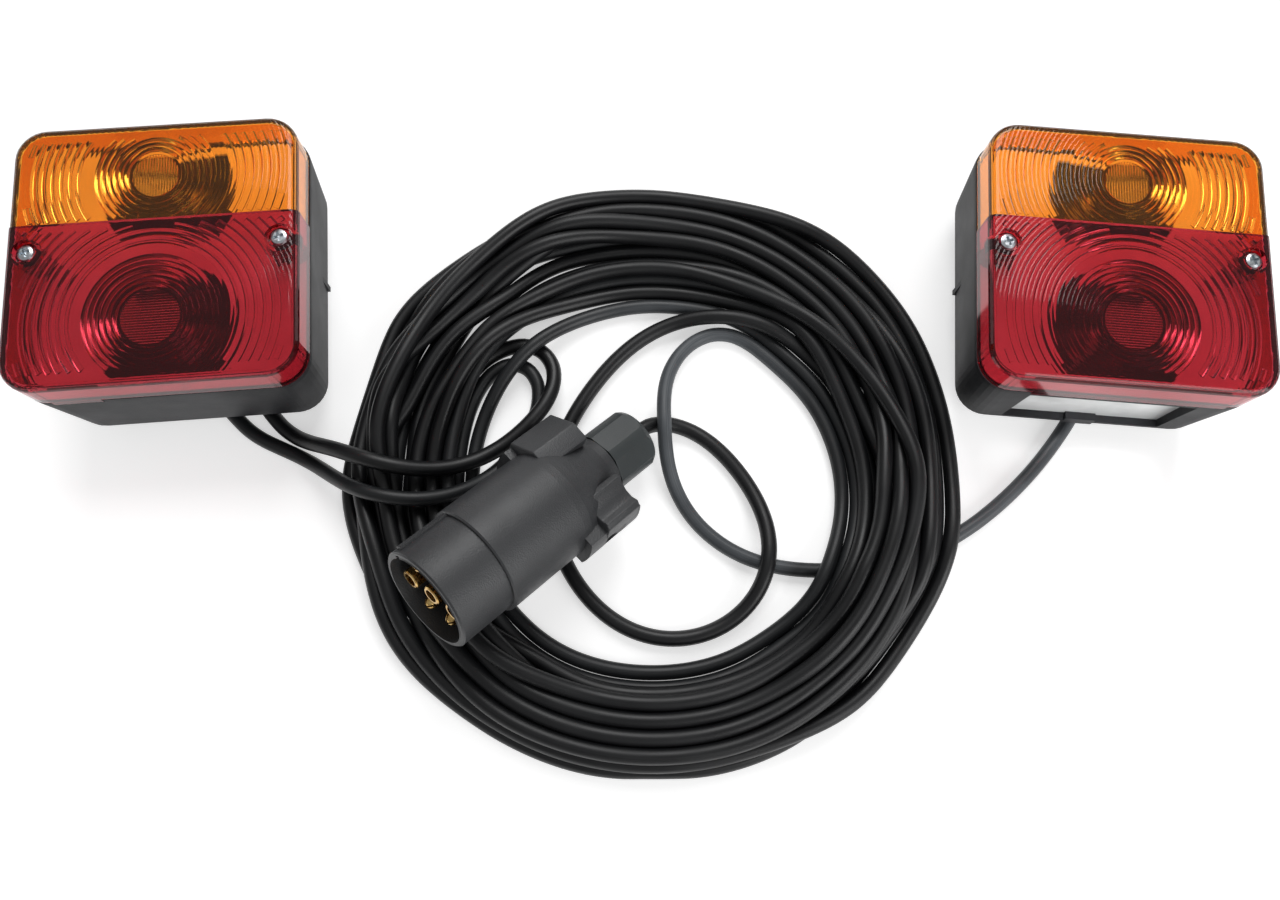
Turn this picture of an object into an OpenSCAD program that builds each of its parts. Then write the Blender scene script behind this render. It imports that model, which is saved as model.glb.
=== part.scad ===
// Magnetic trailer light kit: two square rear lamps on magnets, a seven-contact plug and their leads.
// Millimetres. The lamps stand on their magnets with the lenses up, +X runs from the left lamp
// to the right one, and the origin is on the floor midway between them.

/* [Layout] */
// Distance between the two lamps' centres
lamp_pitch = 355; // [340:1:420]
// How far each lamp is turned towards the middle, in degrees
lamp_turn = 4.5; // [0:0.5:8]

/* [Lamp body] */
// Width of a lamp
lamp_w = 104; // [100:1:112]
// Height of a lamp, from the number plate side to the indicator side
lamp_h = 102; // [98:1:110]
// Depth of a lamp without its magnets
lamp_depth = 52; // [50:1:60]
// Corner radius of the lamp's outline
corner_r = 12; // [8:1:16]
// Wall of the housing
housing_wall = 2.5; // [2:0.1:3]
// Floor of the housing
housing_floor = 2.5; // [2:0.1:4]
// How much narrower the back is, at each side
side_taper = 3; // [1:0.5:5]
// How much lower the back is, at each end
end_taper = 1; // [0:0.5:3]
// Rounding of the housing's back edge
back_edge_r = 2.5; // [1:0.5:4]
// Diameter of the posts that take the lens screws
post_d = 8; // [7:0.5:9]
// Thickness of the partition between the two bulb chambers
partition_t = 1.6; // [1.2:0.1:2.4]
// Width of the ledges that carry the reflector
ledge_w = 3; // [2:0.5:4]

/* [Lens] */
// Depth of the lens at its sides
lens_depth = 15; // [12:0.5:18]
// Thickness of the lens
lens_wall = 2.4; // [2:0.1:3]
// Rounding of the lens's front edge
lens_edge_r = 3; // [2:0.5:4]
// Distance of the line between amber and red from the lamp's centre
colour_line = 11.5; // [9:0.5:14]
// How far the amber outline stands inside the red one
amber_inset = 0.4; // [0.2:0.1:0.8]
// Height of the soft seal under the lens
seal_t = 0.8; // [0.5:0.1:1.5]
// Width of the soft seal
seal_w = 1.2; // [1:0.1:1.3]
// How far the drip lip reaches down over the housing's lower wall
lip_drop = 2.5; // [1.5:0.5:3]
// Thickness of the drip lip
lip_t = 0.9; // [0.7:0.1:1.1]

/* [Lens optics] */
// Distance of the indicator bulb's optic from the lamp's centre
amber_eye_y = 29.5; // [28:0.5:31]
// Distance of the stop bulb's optic from the lamp's centre
red_eye_y = 26; // [24:0.5:28]
// Radius of the amber bullseye
amber_eye_r = 8.5; // [7:0.5:10]
// Radius of the red bullseye
red_eye_r = 10.5; // [9:0.5:12]
// Radius of the round amber zone
amber_zone_r = 24; // [21:0.5:26]
// Radius of the round red zone
red_zone_r = 25; // [22:0.5:27]
// Clear band outside each round zone
clear_band = 3; // [2:0.5:4]
// Pitch of the rings inside the round zones
zone_pitch = 2.2; // [1.8:0.1:3]
// Pitch of the ribs outside the round zones
rib_pitch = 3.1; // [2.6:0.1:4]
// Height of the ribs and rings
rib_h = 0.8; // [0.5:0.1:1.2]
// Pitch of the fine flutes in the bullseyes
flute_pitch = 1; // [0.8:0.1:1.5]
// Width of the plain frame round the ribbed panels
panel_frame = 4.5; // [4:0.5:6]

/* [Lens screws] */
// Distance of each lens screw from the middle
screw_x = 45; // [44:0.5:45.5]
// Offset of the lens screws from the lamp's centre line
screw_y = 1.5; // [0:0.5:3]
// Diameter of the screw's head
screw_head_d = 6.4; // [5.5:0.1:7]
// Height of the screw's head
screw_head_h = 2.2; // [1.8:0.1:2.6]
// Diameter of the screw's shank
screw_d = 3.5; // [3:0.1:4]
// Length of the screw under its head
screw_len = 20; // [14:1:24]
// Depth of the well that the head sits in
well_depth = 3; // [2.6:0.1:4]

/* [Reflector and bulbs] */
// Thickness of the reflector plate
reflector_t = 1.2; // [1:0.1:2]
// Gap between the reflector and the housing's wall
reflector_gap = 0.4; // [0.3:0.1:1]
// Diameter of the bulbs' glass
glass_d = 25; // [18:0.5:26]
// Diameter of the bulbs' metal cap
cap_d = 15; // [14:0.1:16]
// Length of the bulbs' metal cap
cap_len = 16; // [14:0.5:18]
// Height of the bulbs' axis above the housing's floor
bulb_height = 15.5; // [14:0.5:17]
// Wall of the bulb sockets
socket_wall = 0.8; // [0.6:0.1:1.2]
// Length of the bulb sockets
socket_len = 15; // [12:0.5:17]
// Clearance between cap and socket
socket_gap = 0.2; // [0.1:0.05:0.3]
// Thickness of the contact strips
strip_t = 0.8; // [0.5:0.1:1]
// Width of the contact strips
strip_w = 6; // [4:0.5:8]

/* [Number plate window] */
// Width of the window in the right lamp's lower wall
window_w = 62; // [50:1:66]
// Height of the window
window_h = 29; // [22:0.5:29]
// Height of the solid strip under the window
window_sill = 4; // [3:0.5:6]
// How far the pane is set back from the outer wall
window_setback = 3; // [2:0.5:4]
// Thickness of the clear pane
pane_t = 2; // [1.5:0.1:2.5]
// Overlap of the pane behind its frame
pane_lap = 1.2; // [1:0.1:1.3]

/* [Magnets] */
// Diameter of the magnet cups
magnet_d = 38; // [32:1:40]
// Height of the magnet cups
magnet_t = 9; // [9:0.5:12]
// Wall of the magnet cups
cup_wall = 2.5; // [2:0.1:3]
// Distance between a lamp's two magnets
magnet_pitch = 48; // [44:1:50]
// Offset of the magnets towards the indicator side
magnet_y = 10; // [8:1:14]
// Diameter of the magnet studs
stud_d = 5; // [4:0.5:6]
// Clearance round the studs and in the cups
stud_gap = 0.2; // [0.15:0.05:0.4]
// Width of the stud nuts across their flats
nut_af = 8; // [7:0.5:9]
// Height of the stud nuts with their flange
nut_h = 4.5; // [4:0.5:6]

/* [Cables] */
// Diameter of the main lead
main_d = 6.2; // [5.5:0.1:6.6]
// Diameter of the link lead
link_d = 5.8; // [5.2:0.1:6.2]
// Distance of the outer cable hole from the lamp's middle
outer_hole_x = 14; // [12:1:16]
// Distance of the inner cable hole from the lamp's middle
inner_hole_x = 2; // [0:1:3]
// Offset of the cable holes towards the number plate side
hole_y = 20; // [18:1:22]
// Diameter of the cable holes
hole_d = 10; // [9:0.5:11]
// Length of the boots' sleeves
sleeve_len = 20; // [18:1:22]
// Diameter of the boots' sleeves at the elbow
sleeve_d = 8; // [7.4:0.1:8.2]
// Outer radius of the coil
coil_r = 120; // [118:0.5:121]
// Inner radius of the coil
coil_hole_r = 73.5; // [70:0.5:76]
// Height of the coil
coil_h = 19.5; // [16:0.5:20]

/* [Plug] */
// Length of the plug from its mouth to the end of the gland
plug_len = 106; // [100:1:112]
// Outer radius of the barrel
barrel_r = 20; // [19:0.5:20.5]
// Wall of the barrel
barrel_wall = 2.2; // [1.8:0.1:3]
// Length of the barrel in front of the rear body
barrel_len = 22; // [18:1:26]
// Outer radius of the rear body
body_r = 21.5; // [20:0.5:22.5]
// Wall of the rear body
body_wall = 2.5; // [2:0.1:3.5]
// Depth of the contact carrier's face behind the mouth
carrier_depth = 19; // [16:0.5:22]
// Thickness of the contact carrier
carrier_t = 14; // [10:1:18]
// Radius of the circle of contacts
contact_circle_r = 11.5; // [10.5:0.5:12]
// Outer diameter of the contact tubes
tube_od = 7.4; // [6.5:0.1:7.6]
// Bore of the contact tubes
tube_bore = 5.2; // [5:0.1:5.4]
// Diameter of the split pins
pin_d = 5; // [4.5:0.1:5.2]
// How far the contacts end behind the mouth
contact_recess = 2.5; // [1.5:0.5:5]
// Radius of the gland nut
gland_r = 13; // [12:0.5:14]
// Length of the gland nut
gland_len = 21; // [18:1:24]
// Distance from the plug's axis to the wings' outer ends
wing_reach = 25; // [23:0.5:27]
// Width of the wings
wing_w = 16; // [12:1:18]

/* [Hidden] */
$fn = 64;

// Left and right lamps: the sign says on which side of the lamp its outer end is
LEFT = -1;
RIGHT = 1;

// Heights in a lamp, from the floor that the magnets stand on
back_z = magnet_t;
floor_z = back_z + housing_floor;
front_z = back_z + lamp_depth;
lens_rim_z = front_z - lens_depth;
rim_z = lens_rim_z - seal_t;
lens_inner_z = front_z - lens_wall;
reflector_z = rim_z - reflector_t;
bulb_z = floor_z + bulb_height;
head_seat_z = front_z - well_depth;
post_top_z = head_seat_z - 6;

// Fits that several pieces share
seat_gap = 0.3;
join = 0.5;
hair = 0.01;
hull_fn = 32;

// Places that both lamps share
magnet_places = [-magnet_pitch / 2, magnet_pitch / 2];
screw_places = [-screw_x, screw_x];
eye_places = [amber_eye_y, -red_eye_y];
cap_start = glass_d / 2 - 1.5;
socket_start = cap_start + cap_len - socket_len + 1;

// Right or left end of the drip lip, which runs out to the lamp's outer corner
function lip_start(side) = side == LEFT ? -22.5 : -window_w / 2 - 0.5;

// Block of the lamp's outline with a rounded top edge
module rounded_block(w, h, r, z0, z1, e) {
    hull()
        for (x = [-1, 1], y = [-1, 1])
            translate([x * (w / 2 - r), y * (h / 2 - r), 0])
                rotate_extrude($fn = hull_fn)
                    polygon(concat([[0, z0], [r, z0]],
                                   [for (a = [0 : 22.5 : 90])
                                       [r - e + e * cos(a), z1 - e + e * sin(a)]],
                                   [[0, z1]]));
}

// Lamp outline as a flat polygon, at an inset from the full outline
function lamp_outline(inset) =
    [for (q = [0 : 3], a = [0 : 15 : 90])
        let (sx = q == 0 || q == 3 ? 1 : -1, sy = q < 2 ? 1 : -1)
            [sx * (lamp_w / 2 - corner_r) + (corner_r - inset) * cos(90 * q + a),
             sy * (lamp_h / 2 - corner_r) + (corner_r - inset) * sin(90 * q + a)]];

// The housing's outside: tapered to the back, with a rounded back edge
module housing_outside() {
    hull()
        for (x = [-1, 1], y = [-1, 1]) {
            translate([x * (lamp_w / 2 - corner_r), y * (lamp_h / 2 - corner_r), rim_z - 2])
                cylinder(r = corner_r, h = 2, $fn = hull_fn);
            translate([x * (lamp_w / 2 - side_taper - corner_r),
                       y * (lamp_h / 2 - end_taper - corner_r), back_z])
                rotate_extrude($fn = hull_fn)
                    polygon(concat([[0, 3], [corner_r, 3]],
                                   [for (a = [0 : 30 : 90])
                                       [corner_r - back_edge_r * (1 - cos(a)),
                                        back_edge_r * (1 - sin(a))]],
                                   [[0, 0]]));
        }
}

// The housing's hollow, one wall inside its outside
module housing_hollow() {
    inner_r = corner_r - housing_wall;
    hull()
        for (x = [-1, 1], y = [-1, 1]) {
            translate([x * (lamp_w / 2 - corner_r), y * (lamp_h / 2 - corner_r), rim_z - 2])
                cylinder(r = inner_r, h = 3, $fn = hull_fn);
            translate([x * (lamp_w / 2 - side_taper - corner_r),
                       y * (lamp_h / 2 - end_taper - corner_r), floor_z])
                cylinder(r = inner_r, h = 1, $fn = hull_fn);
        }
}

// Ledges on the inner walls, flush under the reflector
module reflector_ledges() {
    reach = housing_wall + 2.5;
    depth = 8;
    for (x = [-1, 1], y = [-30, 30])
        translate([x * (lamp_w / 2 - reach / 2 - join), y, reflector_z - depth / 2])
            cube([reach, ledge_w, depth], center = true);
    for (x = [-30, 30], y = [-1, 1])
        translate([x, y * (lamp_h / 2 - reach / 2 - join), reflector_z - depth / 2])
            cube([ledge_w, reach, depth], center = true);
}

// Places of the two cable holes; the outer one is nearer the lamp's outer end
function cable_holes(side) = [[side * outer_hole_x, -hole_y], [-side * inner_hole_x, -hole_y]];

module housing(side) {
    window_z = back_z + window_sill;
    difference() {
        union() {
            difference() {
                housing_outside();
                housing_hollow();
            }
            // Posts for the lens screws, joined to the side walls by webs
            for (x = screw_places) {
                translate([x, screw_y, floor_z - join])
                    cylinder(d = post_d, h = post_top_z - floor_z + join);
                translate([x + sign(x) * 2.5, screw_y, (floor_z + rim_z - 2) / 2])
                    cube([5, 2, rim_z - 2 - floor_z + 2 * join], center = true);
            }
            // Partition between the chambers, with a gap at the middle for the wires
            difference() {
                for (x = [-1, 1])
                    translate([x * (lamp_w / 4 - 1), colour_line, (floor_z - join + reflector_z) / 2])
                        cube([lamp_w / 2 - 2 * housing_wall - 3, partition_t,
                              reflector_z - floor_z + join], center = true);
                // Room for the stud nuts and a spanner
                for (x = magnet_places)
                    translate([x, magnet_y, floor_z])
                        cylinder(r = nut_af * 0.75 + 1.5, h = nut_h + 4);
            }
            intersection() {
                reflector_ledges();
                housing_outside();
            }
            if (side == RIGHT)
                window_frame();
        }
        // Pilot holes of the lens screws
        for (x = screw_places)
            translate([x, screw_y, post_top_z - screw_len])
                cylinder(d = screw_d + 2 * stud_gap, h = screw_len + 1);
        for (x = magnet_places)
            translate([x, magnet_y, back_z - 1])
                cylinder(d = stud_d + 2 * stud_gap, h = housing_floor + 2);
        for (p = cable_holes(side))
            translate([p[0], p[1], back_z - 1])
                cylinder(d = hole_d, h = housing_floor + 2);
        // Rebate under the drip lip
        lip_space(side, seat_gap);
        if (side == RIGHT) {
            translate([-window_w / 2, -lamp_h, window_z])
                cube([window_w, lamp_h / 2 + housing_wall + window_setback + join, window_h]);
            pane_space(0.2);
            clip_space();
        }
    }
}

// Inner frame that the window's pane is set back in
module window_frame() {
    rim = 3;
    depth = end_taper + window_setback + pane_t + seat_gap + 1;
    intersection() {
        housing_outside();
        translate([-window_w / 2 - rim, -lamp_h / 2, back_z + hair])
            cube([window_w + 2 * rim, depth, reflector_z - back_z - 0.1]);
    }
}

// Space of the pane, open to the inside of the housing
module pane_space(gap) {
    y0 = -lamp_h / 2 + end_taper + window_setback;
    translate([-window_w / 2 - pane_lap - gap, y0, back_z + window_sill - pane_lap - gap])
        cube([window_w + 2 * (pane_lap + gap), pane_t + gap + 5,
              window_h + 2 * pane_lap + 2 * gap]);
}

module pane() {
    y0 = -lamp_h / 2 + end_taper + window_setback;
    pane_wide = window_w + 2 * pane_lap;
    color([0.9, 0.92, 0.93, 0.5])
        difference() {
            translate([-pane_wide / 2, y0, back_z + window_sill - pane_lap])
                cube([pane_wide, pane_t, window_h + 2 * pane_lap]);
            // Fine level flutes on the pane's inner face
            for (k = [1 : 12])
                translate([0, y0 + pane_t, back_z + window_sill + k * window_h / 13])
                    rotate([45, 0, 0])
                        cube([window_w, 0.6, 0.6], center = true);
        }
}

// Slot in the sill for the clip that holds the pane
clip_w = 12;
clip_t = 1.6;
module clip_space() {
    translate([-clip_w / 2 - seat_gap, -lamp_h, back_z - 1])
        cube([clip_w + 2 * seat_gap, lamp_h / 2 + end_taper + clip_t, window_sill + 1 + hair]);
}

module clip() {
    y0 = -lamp_h / 2 + end_taper;
    color([0.75, 0.77, 0.78])
        difference() {
            translate([-clip_w / 2, y0, back_z + 0.4])
                cube([clip_w, window_setback, window_sill + 1.2]);
            translate([-clip_w, y0 + clip_t, back_z])
                cube([2 * clip_w, window_setback, window_sill + 0.4]);
        }
}

// Hollow shell of the lens; the inset makes the outline a little smaller
module lens_shell(inset) {
    inner_w = lamp_w - 2 * lens_wall;
    inner_h = lamp_h - 2 * lens_wall;
    difference() {
        rounded_block(lamp_w - 2 * inset, lamp_h - 2 * inset, corner_r - inset,
                      lens_rim_z, front_z, lens_edge_r);
        rounded_block(inner_w, inner_h, corner_r - lens_wall,
                      lens_rim_z - 1, lens_inner_z, 1.2);
    }
}

// Stretches of a circle that stay inside a panel: hx to each side, up above and down below
function arcs(r, hx, up, down) =
    let (u = asin(min(up / r, 1)), d = asin(min(down / r, 1)), c = acos(min(hx / r, 1)))
    r <= min(hx, up, down) ? [[0, 360]]
    : r <= hx ? (r > up && r > down ? [[-d, u], [180 - u, 180 + d]]
                 : r > down ? [[-d, 180 + d]]
                 : [[180 - u, 360 + u]])
    : concat(r <= up ? [[c, 180 - c]] : u > c + 1 ? [[c, u], [180 - u, 180 - c]] : [],
             r <= down ? [[180 + c, 360 - c]] : d > c + 1 ? [[180 + c, 180 + d], [-d, -c]] : []);

// Ring-shaped ribs with a steep and a shallow side, hanging under the lens's face
module ring_ribs(r0, r1, pitch, hx, up, down) {
    for (r = [r0 : pitch : r1 - pitch], a = arcs(r + pitch, hx, up, down))
        rotate([0, 0, a[0]])
            rotate_extrude(angle = a[1] - a[0])
                polygon([[r, lens_inner_z + 0.4], [r + pitch * 0.08, lens_inner_z - 0.1],
                         [r + pitch * 0.66, lens_inner_z - rib_h],
                         [r + pitch * 0.94, lens_inner_z + 0.4]]);
}

// Fine parallel flutes inside a bullseye; across is true where they run from side to side
module eye_flutes(r, across) {
    count = floor(r / flute_pitch);
    intersection() {
        translate([0, 0, lens_inner_z - rib_h - 1])
            cylinder(r = r, h = rib_h + 1.4);
        rotate([90, 0, across ? 90 : 0])
            translate([0, 0, -r - 1])
                linear_extrude(2 * r + 2)
                    polygon(concat([[-(count + 1) * flute_pitch, lens_inner_z + join]],
                                   [for (k = [-count - 1 : count], q = [0, 1])
                                        [(k + q / 2) * flute_pitch,
                                         lens_inner_z - 0.15 - q * rib_h * 0.75]],
                                   [[(count + 1) * flute_pitch, lens_inner_z - 0.15],
                                    [(count + 1) * flute_pitch, lens_inner_z + join]]));
    }
}

// One colour's ribbed panel between two heights, round its bullseye
module lens_optic(eye_y, eye_r, zone_r, y0, y1, across) {
    hx = lamp_w / 2 - panel_frame;
    up = y1 - eye_y;
    down = eye_y - y0;
    translate([0, eye_y, 0]) {
        eye_flutes(eye_r, across);
        ring_ribs(eye_r + 0.8, zone_r, zone_pitch, hx, up, down);
        ring_ribs(zone_r + clear_band, norm([hx, max(up, down)]), rib_pitch, hx, up, down);
    }
}

module lens_amber() {
    color([0.94, 0.56, 0.13, 0.85]) {
        intersection() {
            lens_shell(amber_inset);
            translate([-lamp_w, colour_line, 0])
                cube([2 * lamp_w, lamp_h, 2 * front_z]);
        }
        lens_optic(amber_eye_y, amber_eye_r, amber_zone_r,
                   colour_line + 1, lamp_h / 2 - panel_frame - 1, false);
    }
}

// Drip lip on the outer face of the lower wall, and the space it takes with a gap round it
module lip_space(side, gap) {
    x0 = lip_start(side);
    x1 = lamp_w / 2 - corner_r;
    far = side * x1;
    translate([min(x0, far) - gap, -lamp_h / 2 - 1, lens_rim_z - lip_drop - gap])
        cube([abs(far - x0) + 2 * gap, 1 + lip_t + gap, lip_drop + gap + 1]);
}

module lip(side) {
    x0 = lip_start(side);
    far = side * (lamp_w / 2 - corner_r);
    translate([min(x0, far), -lamp_h / 2, lens_rim_z - lip_drop])
        cube([abs(far - x0), lip_t, lip_drop + join]);
}

module lens_red(side) {
    boss_r = post_d / 2 + 1.4;
    color([0.72, 0.1, 0.13, 0.85])
        difference() {
            union() {
                intersection() {
                    lens_shell(0);
                    translate([-lamp_w, colour_line - hair - 2 * lamp_h, 0])
                        cube([2 * lamp_w, 2 * lamp_h, 2 * front_z]);
                }
                lens_optic(-red_eye_y, red_eye_r, red_zone_r,
                           -lamp_h / 2 + panel_frame + 1, colour_line - 1, true);
                for (x = screw_places)
                    translate([x, screw_y, post_top_z])
                        cylinder(r = boss_r, h = lens_inner_z - post_top_z + join);
                lip(side);
            }
            for (x = screw_places)
                translate([x, screw_y, 0]) {
                    translate([0, 0, head_seat_z])
                        cylinder(d = screw_head_d + 2.2, h = well_depth + 1);
                    cylinder(d = screw_d + 2 * stud_gap, h = front_z);
                }
        }
}

// Seal: a flat ring of the lens's outline, between the lens's rim and the housing's
module lens_seal() {
    color([0.1, 0.1, 0.1])
        translate([0, 0, rim_z])
            linear_extrude(seal_t)
                difference() {
                    polygon(lamp_outline(lens_wall - seal_w));
                    polygon(lamp_outline(lens_wall));
                }
}

// Pan-head screw with a cross recess
module lens_screws() {
    slot_w = 1;
    slot_l = 3.6;
    color([0.8, 0.82, 0.84])
        for (x = screw_places)
            translate([x, screw_y, head_seat_z])
                difference() {
                    union() {
                        translate([0, 0, -screw_len])
                            cylinder(d = screw_d, h = screw_len + join);
                        cylinder(d = screw_head_d, h = screw_head_h * 0.55);
                        translate([0, 0, screw_head_h * 0.55])
                            rotate_extrude()
                                polygon([[0, 0], [screw_head_d / 2, 0],
                                         [screw_head_d * 0.44, screw_head_h * 0.28],
                                         [screw_head_d * 0.3, screw_head_h * 0.45],
                                         [0, screw_head_h * 0.45]]);
                    }
                    translate([0, 0, screw_head_h - 0.5])
                        for (a = [0, 90])
                            rotate([0, 0, a + 20])
                                cube([slot_l, slot_w, 2], center = true);
                }
}

// Reflector: a plate with one round opening over each bulb
module reflector() {
    plate_in = housing_wall + reflector_gap + 0.4;
    color([0.82, 0.82, 0.8])
        difference() {
            translate([0, 0, reflector_z])
                linear_extrude(reflector_t)
                    polygon(lamp_outline(plate_in));
            intersection() {
                translate([0, amber_eye_y, 0])
                    cylinder(r = amber_zone_r + clear_band / 2, h = front_z);
                translate([-lamp_w, colour_line + 2, 0])
                    cube([2 * lamp_w, lamp_h / 2 - colour_line - 2 - plate_in - 3, front_z]);
            }
            intersection() {
                translate([0, -red_eye_y, 0])
                    cylinder(r = red_zone_r + clear_band / 2, h = front_z);
                translate([-lamp_w, -lamp_h / 2 + plate_in + 3, 0])
                    cube([2 * lamp_w, lamp_h / 2 - plate_in - 3 + colour_line - 2, front_z]);
            }
            for (x = screw_places)
                translate([x, screw_y, 0])
                    cylinder(d = post_d + 1.2, h = front_z);
        }
}

// Places a bulb's pieces: its axis runs along X at the eye, with the glass's centre at the eye
module at_bulb(y) {
    translate([-4, y, bulb_z])
        rotate([0, 90, 0])
            children();
}

module bulb_glass(y) {
    neck_r = cap_d / 2 - 1;
    color([0.95, 0.95, 0.92, 0.4])
        at_bulb(y)
            rotate_extrude()
                polygon(concat(
                    [for (a = [-90 : 10 : 50]) [glass_d / 2 * cos(a), glass_d / 2 * sin(a)]],
                    [[neck_r, cap_start], [0, cap_start]]));
}

module bulb_cap(y) {
    color([0.75, 0.7, 0.55])
        at_bulb(y) {
            translate([0, 0, cap_start])
                cylinder(d = cap_d, h = cap_len);
            translate([0, 0, cap_start + cap_len - join])
                cylinder(d1 = cap_d - 5, d2 = 5, h = 2);
            for (a = [90, 270])
                rotate([0, 0, a])
                    translate([cap_d / 2 - join, 0, cap_start + 6])
                        rotate([0, 90, 0])
                            cylinder(d = 2, h = 1.6);
        }
}

// Bayonet sockets: a slotted shell on a foot, one for each bulb
module bulb_sockets() {
    inner_r = cap_d / 2 + socket_gap;
    outer_r = inner_r + socket_wall;
    foot_w = 12;
    shell_z = socket_start + 2;
    color([0.7, 0.72, 0.72])
        for (y = eye_places)
            difference() {
                union() {
                    at_bulb(y)
                        translate([0, 0, shell_z])
                            cylinder(r = outer_r, h = socket_len - 2);
                    translate([-4 + shell_z + 2, y - foot_w / 2, floor_z])
                        cube([6, foot_w, bulb_height - inner_r]);
                }
                at_bulb(y)
                    translate([0, 0, shell_z - 1])
                        cylinder(r = inner_r, h = socket_len + 2);
                // Slots that the bayonet pins slide in
                at_bulb(y)
                    for (a = [90, 270])
                        rotate([0, 0, a])
                            translate([0, -1.3, shell_z - 1])
                                cube([outer_r + 3, 2.6, 5]);
            }
}

// Bent strips that press on the bulbs' base contacts and run along the floor
module contact_strips() {
    base_x = -4 + cap_start + cap_len + 2 - join;
    color([0.8, 0.65, 0.35])
        for (y = eye_places)
            union() {
                translate([base_x + 0.1, y - strip_w / 2, floor_z])
                    cube([strip_t, strip_w, bulb_height + 2.5]);
                translate([base_x + 0.1, y - strip_w / 2, floor_z])
                    cube([8, strip_w, strip_t]);
            }
}

// Steel pot of each magnet, open at the floor
pocket_h = magnet_t - 3;
module magnet_cups() {
    color([0.72, 0.74, 0.76])
        for (x = magnet_places)
            translate([x, magnet_y, 0])
                difference() {
                    rotate_extrude()
                        polygon([[0, 0], [magnet_d / 2 - 0.6, 0], [magnet_d / 2, 0.6],
                                 [magnet_d / 2, magnet_t - 1], [magnet_d / 2 - 1, magnet_t],
                                 [0, magnet_t]]);
                    translate([0, 0, -1])
                        cylinder(d = magnet_d - 2 * cup_wall, h = pocket_h + 1);
                    cylinder(d = stud_d + 2 * stud_gap, h = magnet_t + 1);
                }
}

stud_head_h = 1.8;
stud_head_d = 9;
module ring_magnets() {
    color([0.25, 0.25, 0.26])
        for (x = magnet_places)
            translate([x, magnet_y, 0.2])
                difference() {
                    cylinder(d = magnet_d - 2 * cup_wall - 2 * stud_gap, h = pocket_h - 0.2);
                    translate([0, 0, pocket_h - 0.2 - stud_head_h])
                        cylinder(d = stud_head_d + 2 * stud_gap, h = stud_head_h + 1);
                    translate([0, 0, -1])
                        cylinder(d = stud_d, h = pocket_h + 2);
                }
}

module magnet_studs() {
    color([0.78, 0.79, 0.8])
        for (x = magnet_places)
            translate([x, magnet_y, pocket_h - stud_head_h]) {
                cylinder(d = stud_head_d, h = stud_head_h);
                cylinder(d = stud_d, h = floor_z + nut_h + 1.5 - pocket_h + stud_head_h);
            }
}

// Flanged hexagon nuts that hold the magnets from inside the housing
module stud_nuts() {
    flange_h = 1.2;
    color([0.78, 0.79, 0.8])
        for (x = magnet_places)
            translate([x, magnet_y, floor_z])
                difference() {
                    union() {
                        cylinder(d = nut_af * 1.5, h = flange_h);
                        cylinder(d = nut_af / cos(30), h = nut_h, $fn = 6);
                    }
                    translate([0, 0, -1])
                        cylinder(d = stud_d + 2 * stud_gap, h = nut_h + 2);
                }
}

// Angled rubber boot: flange inside, neck in the hole, elbow below and a tapered sleeve
sleeve_z = sleeve_d / 2 + 0.3;
module cable_boot(place, heading, lead_d) {
    neck_d = hole_d - 0.6;
    color([0.12, 0.12, 0.12])
        translate([place[0], place[1], 0]) {
            translate([0, 0, floor_z])
                cylinder(d = hole_d + 4, h = 1.6);
            translate([0, 0, back_z - join])
                cylinder(d = neck_d, h = housing_floor + 2 * join);
            translate([0, 0, sleeve_z - sleeve_d / 2])
                cylinder(d = neck_d, h = back_z - sleeve_z + sleeve_d / 2);
            rotate([0, 0, heading])
                translate([0, 0, sleeve_z])
                    rotate([0, 90, 0])
                        rotate_extrude()
                            polygon(concat(
                                [[0, 0], [sleeve_d / 2, 0]],
                                [for (k = [0 : 5], q = [0, 1, 2, 3])
                                    [sleeve_d / 2 - (q == 1 || q == 2 ? 0.5 : 0)
                                        - k * (sleeve_d - lead_d - 0.6) / 12,
                                     7 + k * 2 + [0, 0, 0.8, 0.8][q]]],
                                [[lead_d / 2 + 0.3, sleeve_len], [0, sleeve_len]]));
        }
}

module blanking_grommet(place) {
    color([0.12, 0.12, 0.12])
        translate([place[0], place[1], 0]) {
            translate([0, 0, floor_z])
                cylinder(d = hole_d + 4, h = 1.6);
            translate([0, 0, back_z - join])
                cylinder(d = hole_d - 0.6, h = housing_floor + 2 * join);
            translate([0, 0, back_z - 1.6])
                cylinder(d = hole_d + 3, h = 1.6);
        }
}

// The plug, built upright on its gland's end and then laid across the coil
plug_at = [-75.5, -124.7, 49.2];
plug_heading = 223.5;
plug_tilt = 21;
module at_plug() {
    translate(plug_at)
        rotate([0, 0, plug_heading])
            rotate([0, 90 - plug_tilt, 0])
                rotate([0, 0, 90])
                    children();
}

// Heights along the plug, measured back from its mouth as negative numbers
carrier_face = -carrier_depth;
seam = -barrel_len;
gland_seam = -plug_len + gland_len;
shoulder = gland_seam + 28;
bore_r = barrel_r - barrel_wall;
spigot_r = body_r - body_wall - seat_gap;

function on_circle(k) = [contact_circle_r * cos(27 + 60 * k), contact_circle_r * sin(27 + 60 * k)];
tube_places = [[0, 0], on_circle(0), on_circle(3)];
pin_places = [on_circle(1), on_circle(2), on_circle(4), on_circle(5)];

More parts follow.
